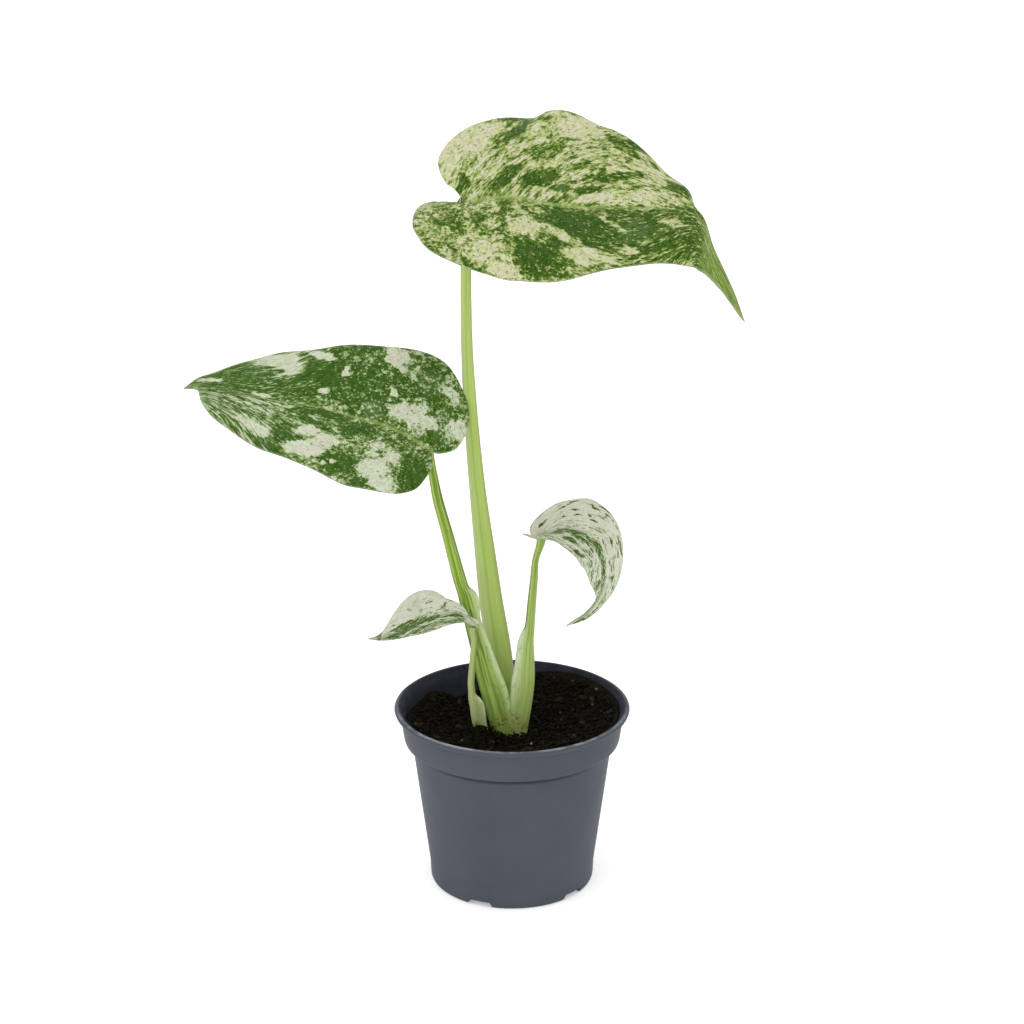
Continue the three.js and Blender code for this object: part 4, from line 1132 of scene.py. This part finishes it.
def light_room():
    """Even white light from all round."""
    world = bpy.data.worlds.new("room")
    world.use_nodes = True
    background = world.node_tree.nodes["Background"]
    background.inputs["Color"].default_value = (1, 1, 1, 1)
    background.inputs["Strength"].default_value = 1.1
    bpy.context.scene.world = world


def make_lamp(name, place, target, size, power):
    """Square soft lamp that points at target."""
    light = bpy.data.lights.new(name, "AREA")
    light.shape = "RECTANGLE"
    light.size = size
    light.size_y = size
    light.energy = power
    lamp = bpy.data.objects.new(name, light)
    lamp.location = place
    lamp.rotation_euler = (Vector(target) - Vector(place)).to_track_quat("-Z", "Y").to_euler()
    bpy.context.scene.collection.objects.link(lamp)
    return lamp


def make_camera():
    camera_data = bpy.data.cameras.new("camera")
    camera_data.lens = CAMERA_LENS
    camera_data.sensor_width = SENSOR_WIDTH
    camera = bpy.data.objects.new("camera", camera_data)
    camera.location = CAMERA_PLACE
    camera.rotation_euler = (math.radians(CAMERA_TILT), 0, 0)
    bpy.context.scene.collection.objects.link(camera)
    return camera


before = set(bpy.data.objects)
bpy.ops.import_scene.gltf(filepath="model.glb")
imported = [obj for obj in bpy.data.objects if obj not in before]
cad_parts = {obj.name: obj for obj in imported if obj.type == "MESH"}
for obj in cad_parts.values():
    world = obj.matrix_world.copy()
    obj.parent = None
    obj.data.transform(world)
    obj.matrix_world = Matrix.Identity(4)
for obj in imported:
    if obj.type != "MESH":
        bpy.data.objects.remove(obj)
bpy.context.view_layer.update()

pot = make_pot(pot_material())
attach(pot, "root")
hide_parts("pot")

soil_skin = soil_material("potting_soil", shade(24, 22, 15), shade(39, 34, 23), shade(60, 54, 40))
soil = make_soil(soil_skin)
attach(soil, "root")
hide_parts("soil")

# Places round the front of the stalks' feet, where the soil has worked up
at_stalks = []
for step in range(4, 26):
    across = (7.6 + step % 3 * 0.5) * math.cos(step * 0.11)
    forward = (4.6 + step % 4 * 0.4) * math.sin(step * 0.11)
    at_stalks.append([FEET[0] + across, FEET[1] - forward])

small = bit_material("brown_crumbs", shade(44, 34, 23), shade(24, 20, 14))
brown = bit_material("brown_bark", shade(48, 37, 27), shade(27, 22, 16))
tan = bit_material("tan_bark", colour(116, 94, 62), colour(66, 52, 36))
white = bit_material("perlite_grains", colour(168, 160, 144), colour(92, 88, 72))
chip_places = [(-24.6, -4.4), (-23.6, -6.0), (15.9, 18.5), (21.8, 12.7)]
grain_places = [(-4.3, -12.3), (4.8, -14.1)]
loose = [
    scatter("crumbs", soil_skin, 2600, (0.15, 0.5), (0.5, 0.9), 3),
    scatter("crumbs_small", small, 900, (0.12, 0.34), (0.5, 0.9), 5),
    scatter("crumbs_at_stalks", soil_skin, len(at_stalks), (0.25, 0.6), (0.6, 1), 6, places=at_stalks),
    scatter("bark_chips", brown, 45, (0.35, 0.95), (0.3, 0.5), 8, detail=2),
    scatter("tan_chips", tan, 12, (0.15, 0.35), (0.4, 0.6), 11, detail=2),
    scatter("tan_chips_seen", tan, 4, (0.3, 0.5), (0.4, 0.6), 12, detail=2, rough=0.9, places=chip_places),
    scatter("perlite_seen", white, 2, (0.3, 0.42), (0.5, 0.8), 13, detail=2, rough=0.8, places=grain_places),
    make_fibres(brown, 60, 21),
]
for piece in loose:
    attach(piece, "root")

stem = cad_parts["stem"]
stem.data.materials.clear()
stem.data.materials.append(bit_material("stem_skin", colour(120, 128, 74), colour(86, 84, 48), 300))

for name, node, skin, slot in (
    ("stalk_top", "petiole_top", "pale_stalk", "stalk_pale"),
    ("stalk_left", "petiole_left", "striped_stalk", "stalk_striped"),
    ("stalk_right", "petiole_right", "short_stalk", "stalk_pale"),
    ("stalk_low", "petiole_low", "low_stalk", "stalk_pale"),
):
    piece = make_stalk(name, node, stalk_material(skin, **STALK_SKINS[skin]))
    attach(piece, "root")
    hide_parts(node)

for name, node, rows, columns, rib_width, vein_place, skin, slot in (
    ("leaf_top", "blade_top", 290, 130, 0.6, pinnate_place, "marbled_leaf_cream", "leaf_marbled"),
    ("leaf_left", "blade_left", 270, 130, 0.6, pinnate_place, "marbled_leaf_white", "leaf_marbled"),
    ("leaf_right", "blade_right", 220, 110, 0.25, arched_place, "pale_leaf", "leaf_cream"),
    ("leaf_low", "blade_low", 180, 90, 0.2, arched_place, "low_leaf", "leaf_cream"),
):
    upper = leaf_material(skin, **LEAF_SKINS[skin])
    lower = leaf_material(skin + "_under", **LEAF_SKINS[skin], under=True)
    piece = make_leaf(name, node, rows, columns, rib_width, vein_place, [upper, lower])
    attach(piece, "root")
    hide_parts(node)

floor = make_floor()
light_room()
lamp = make_lamp("window_light", (-0.7, -0.7, 1.1), (0, 0, 0.1), 0.9, 2.5)
bpy.context.scene.camera = make_camera()
bpy.context.scene.view_settings.view_transform = "Standard"
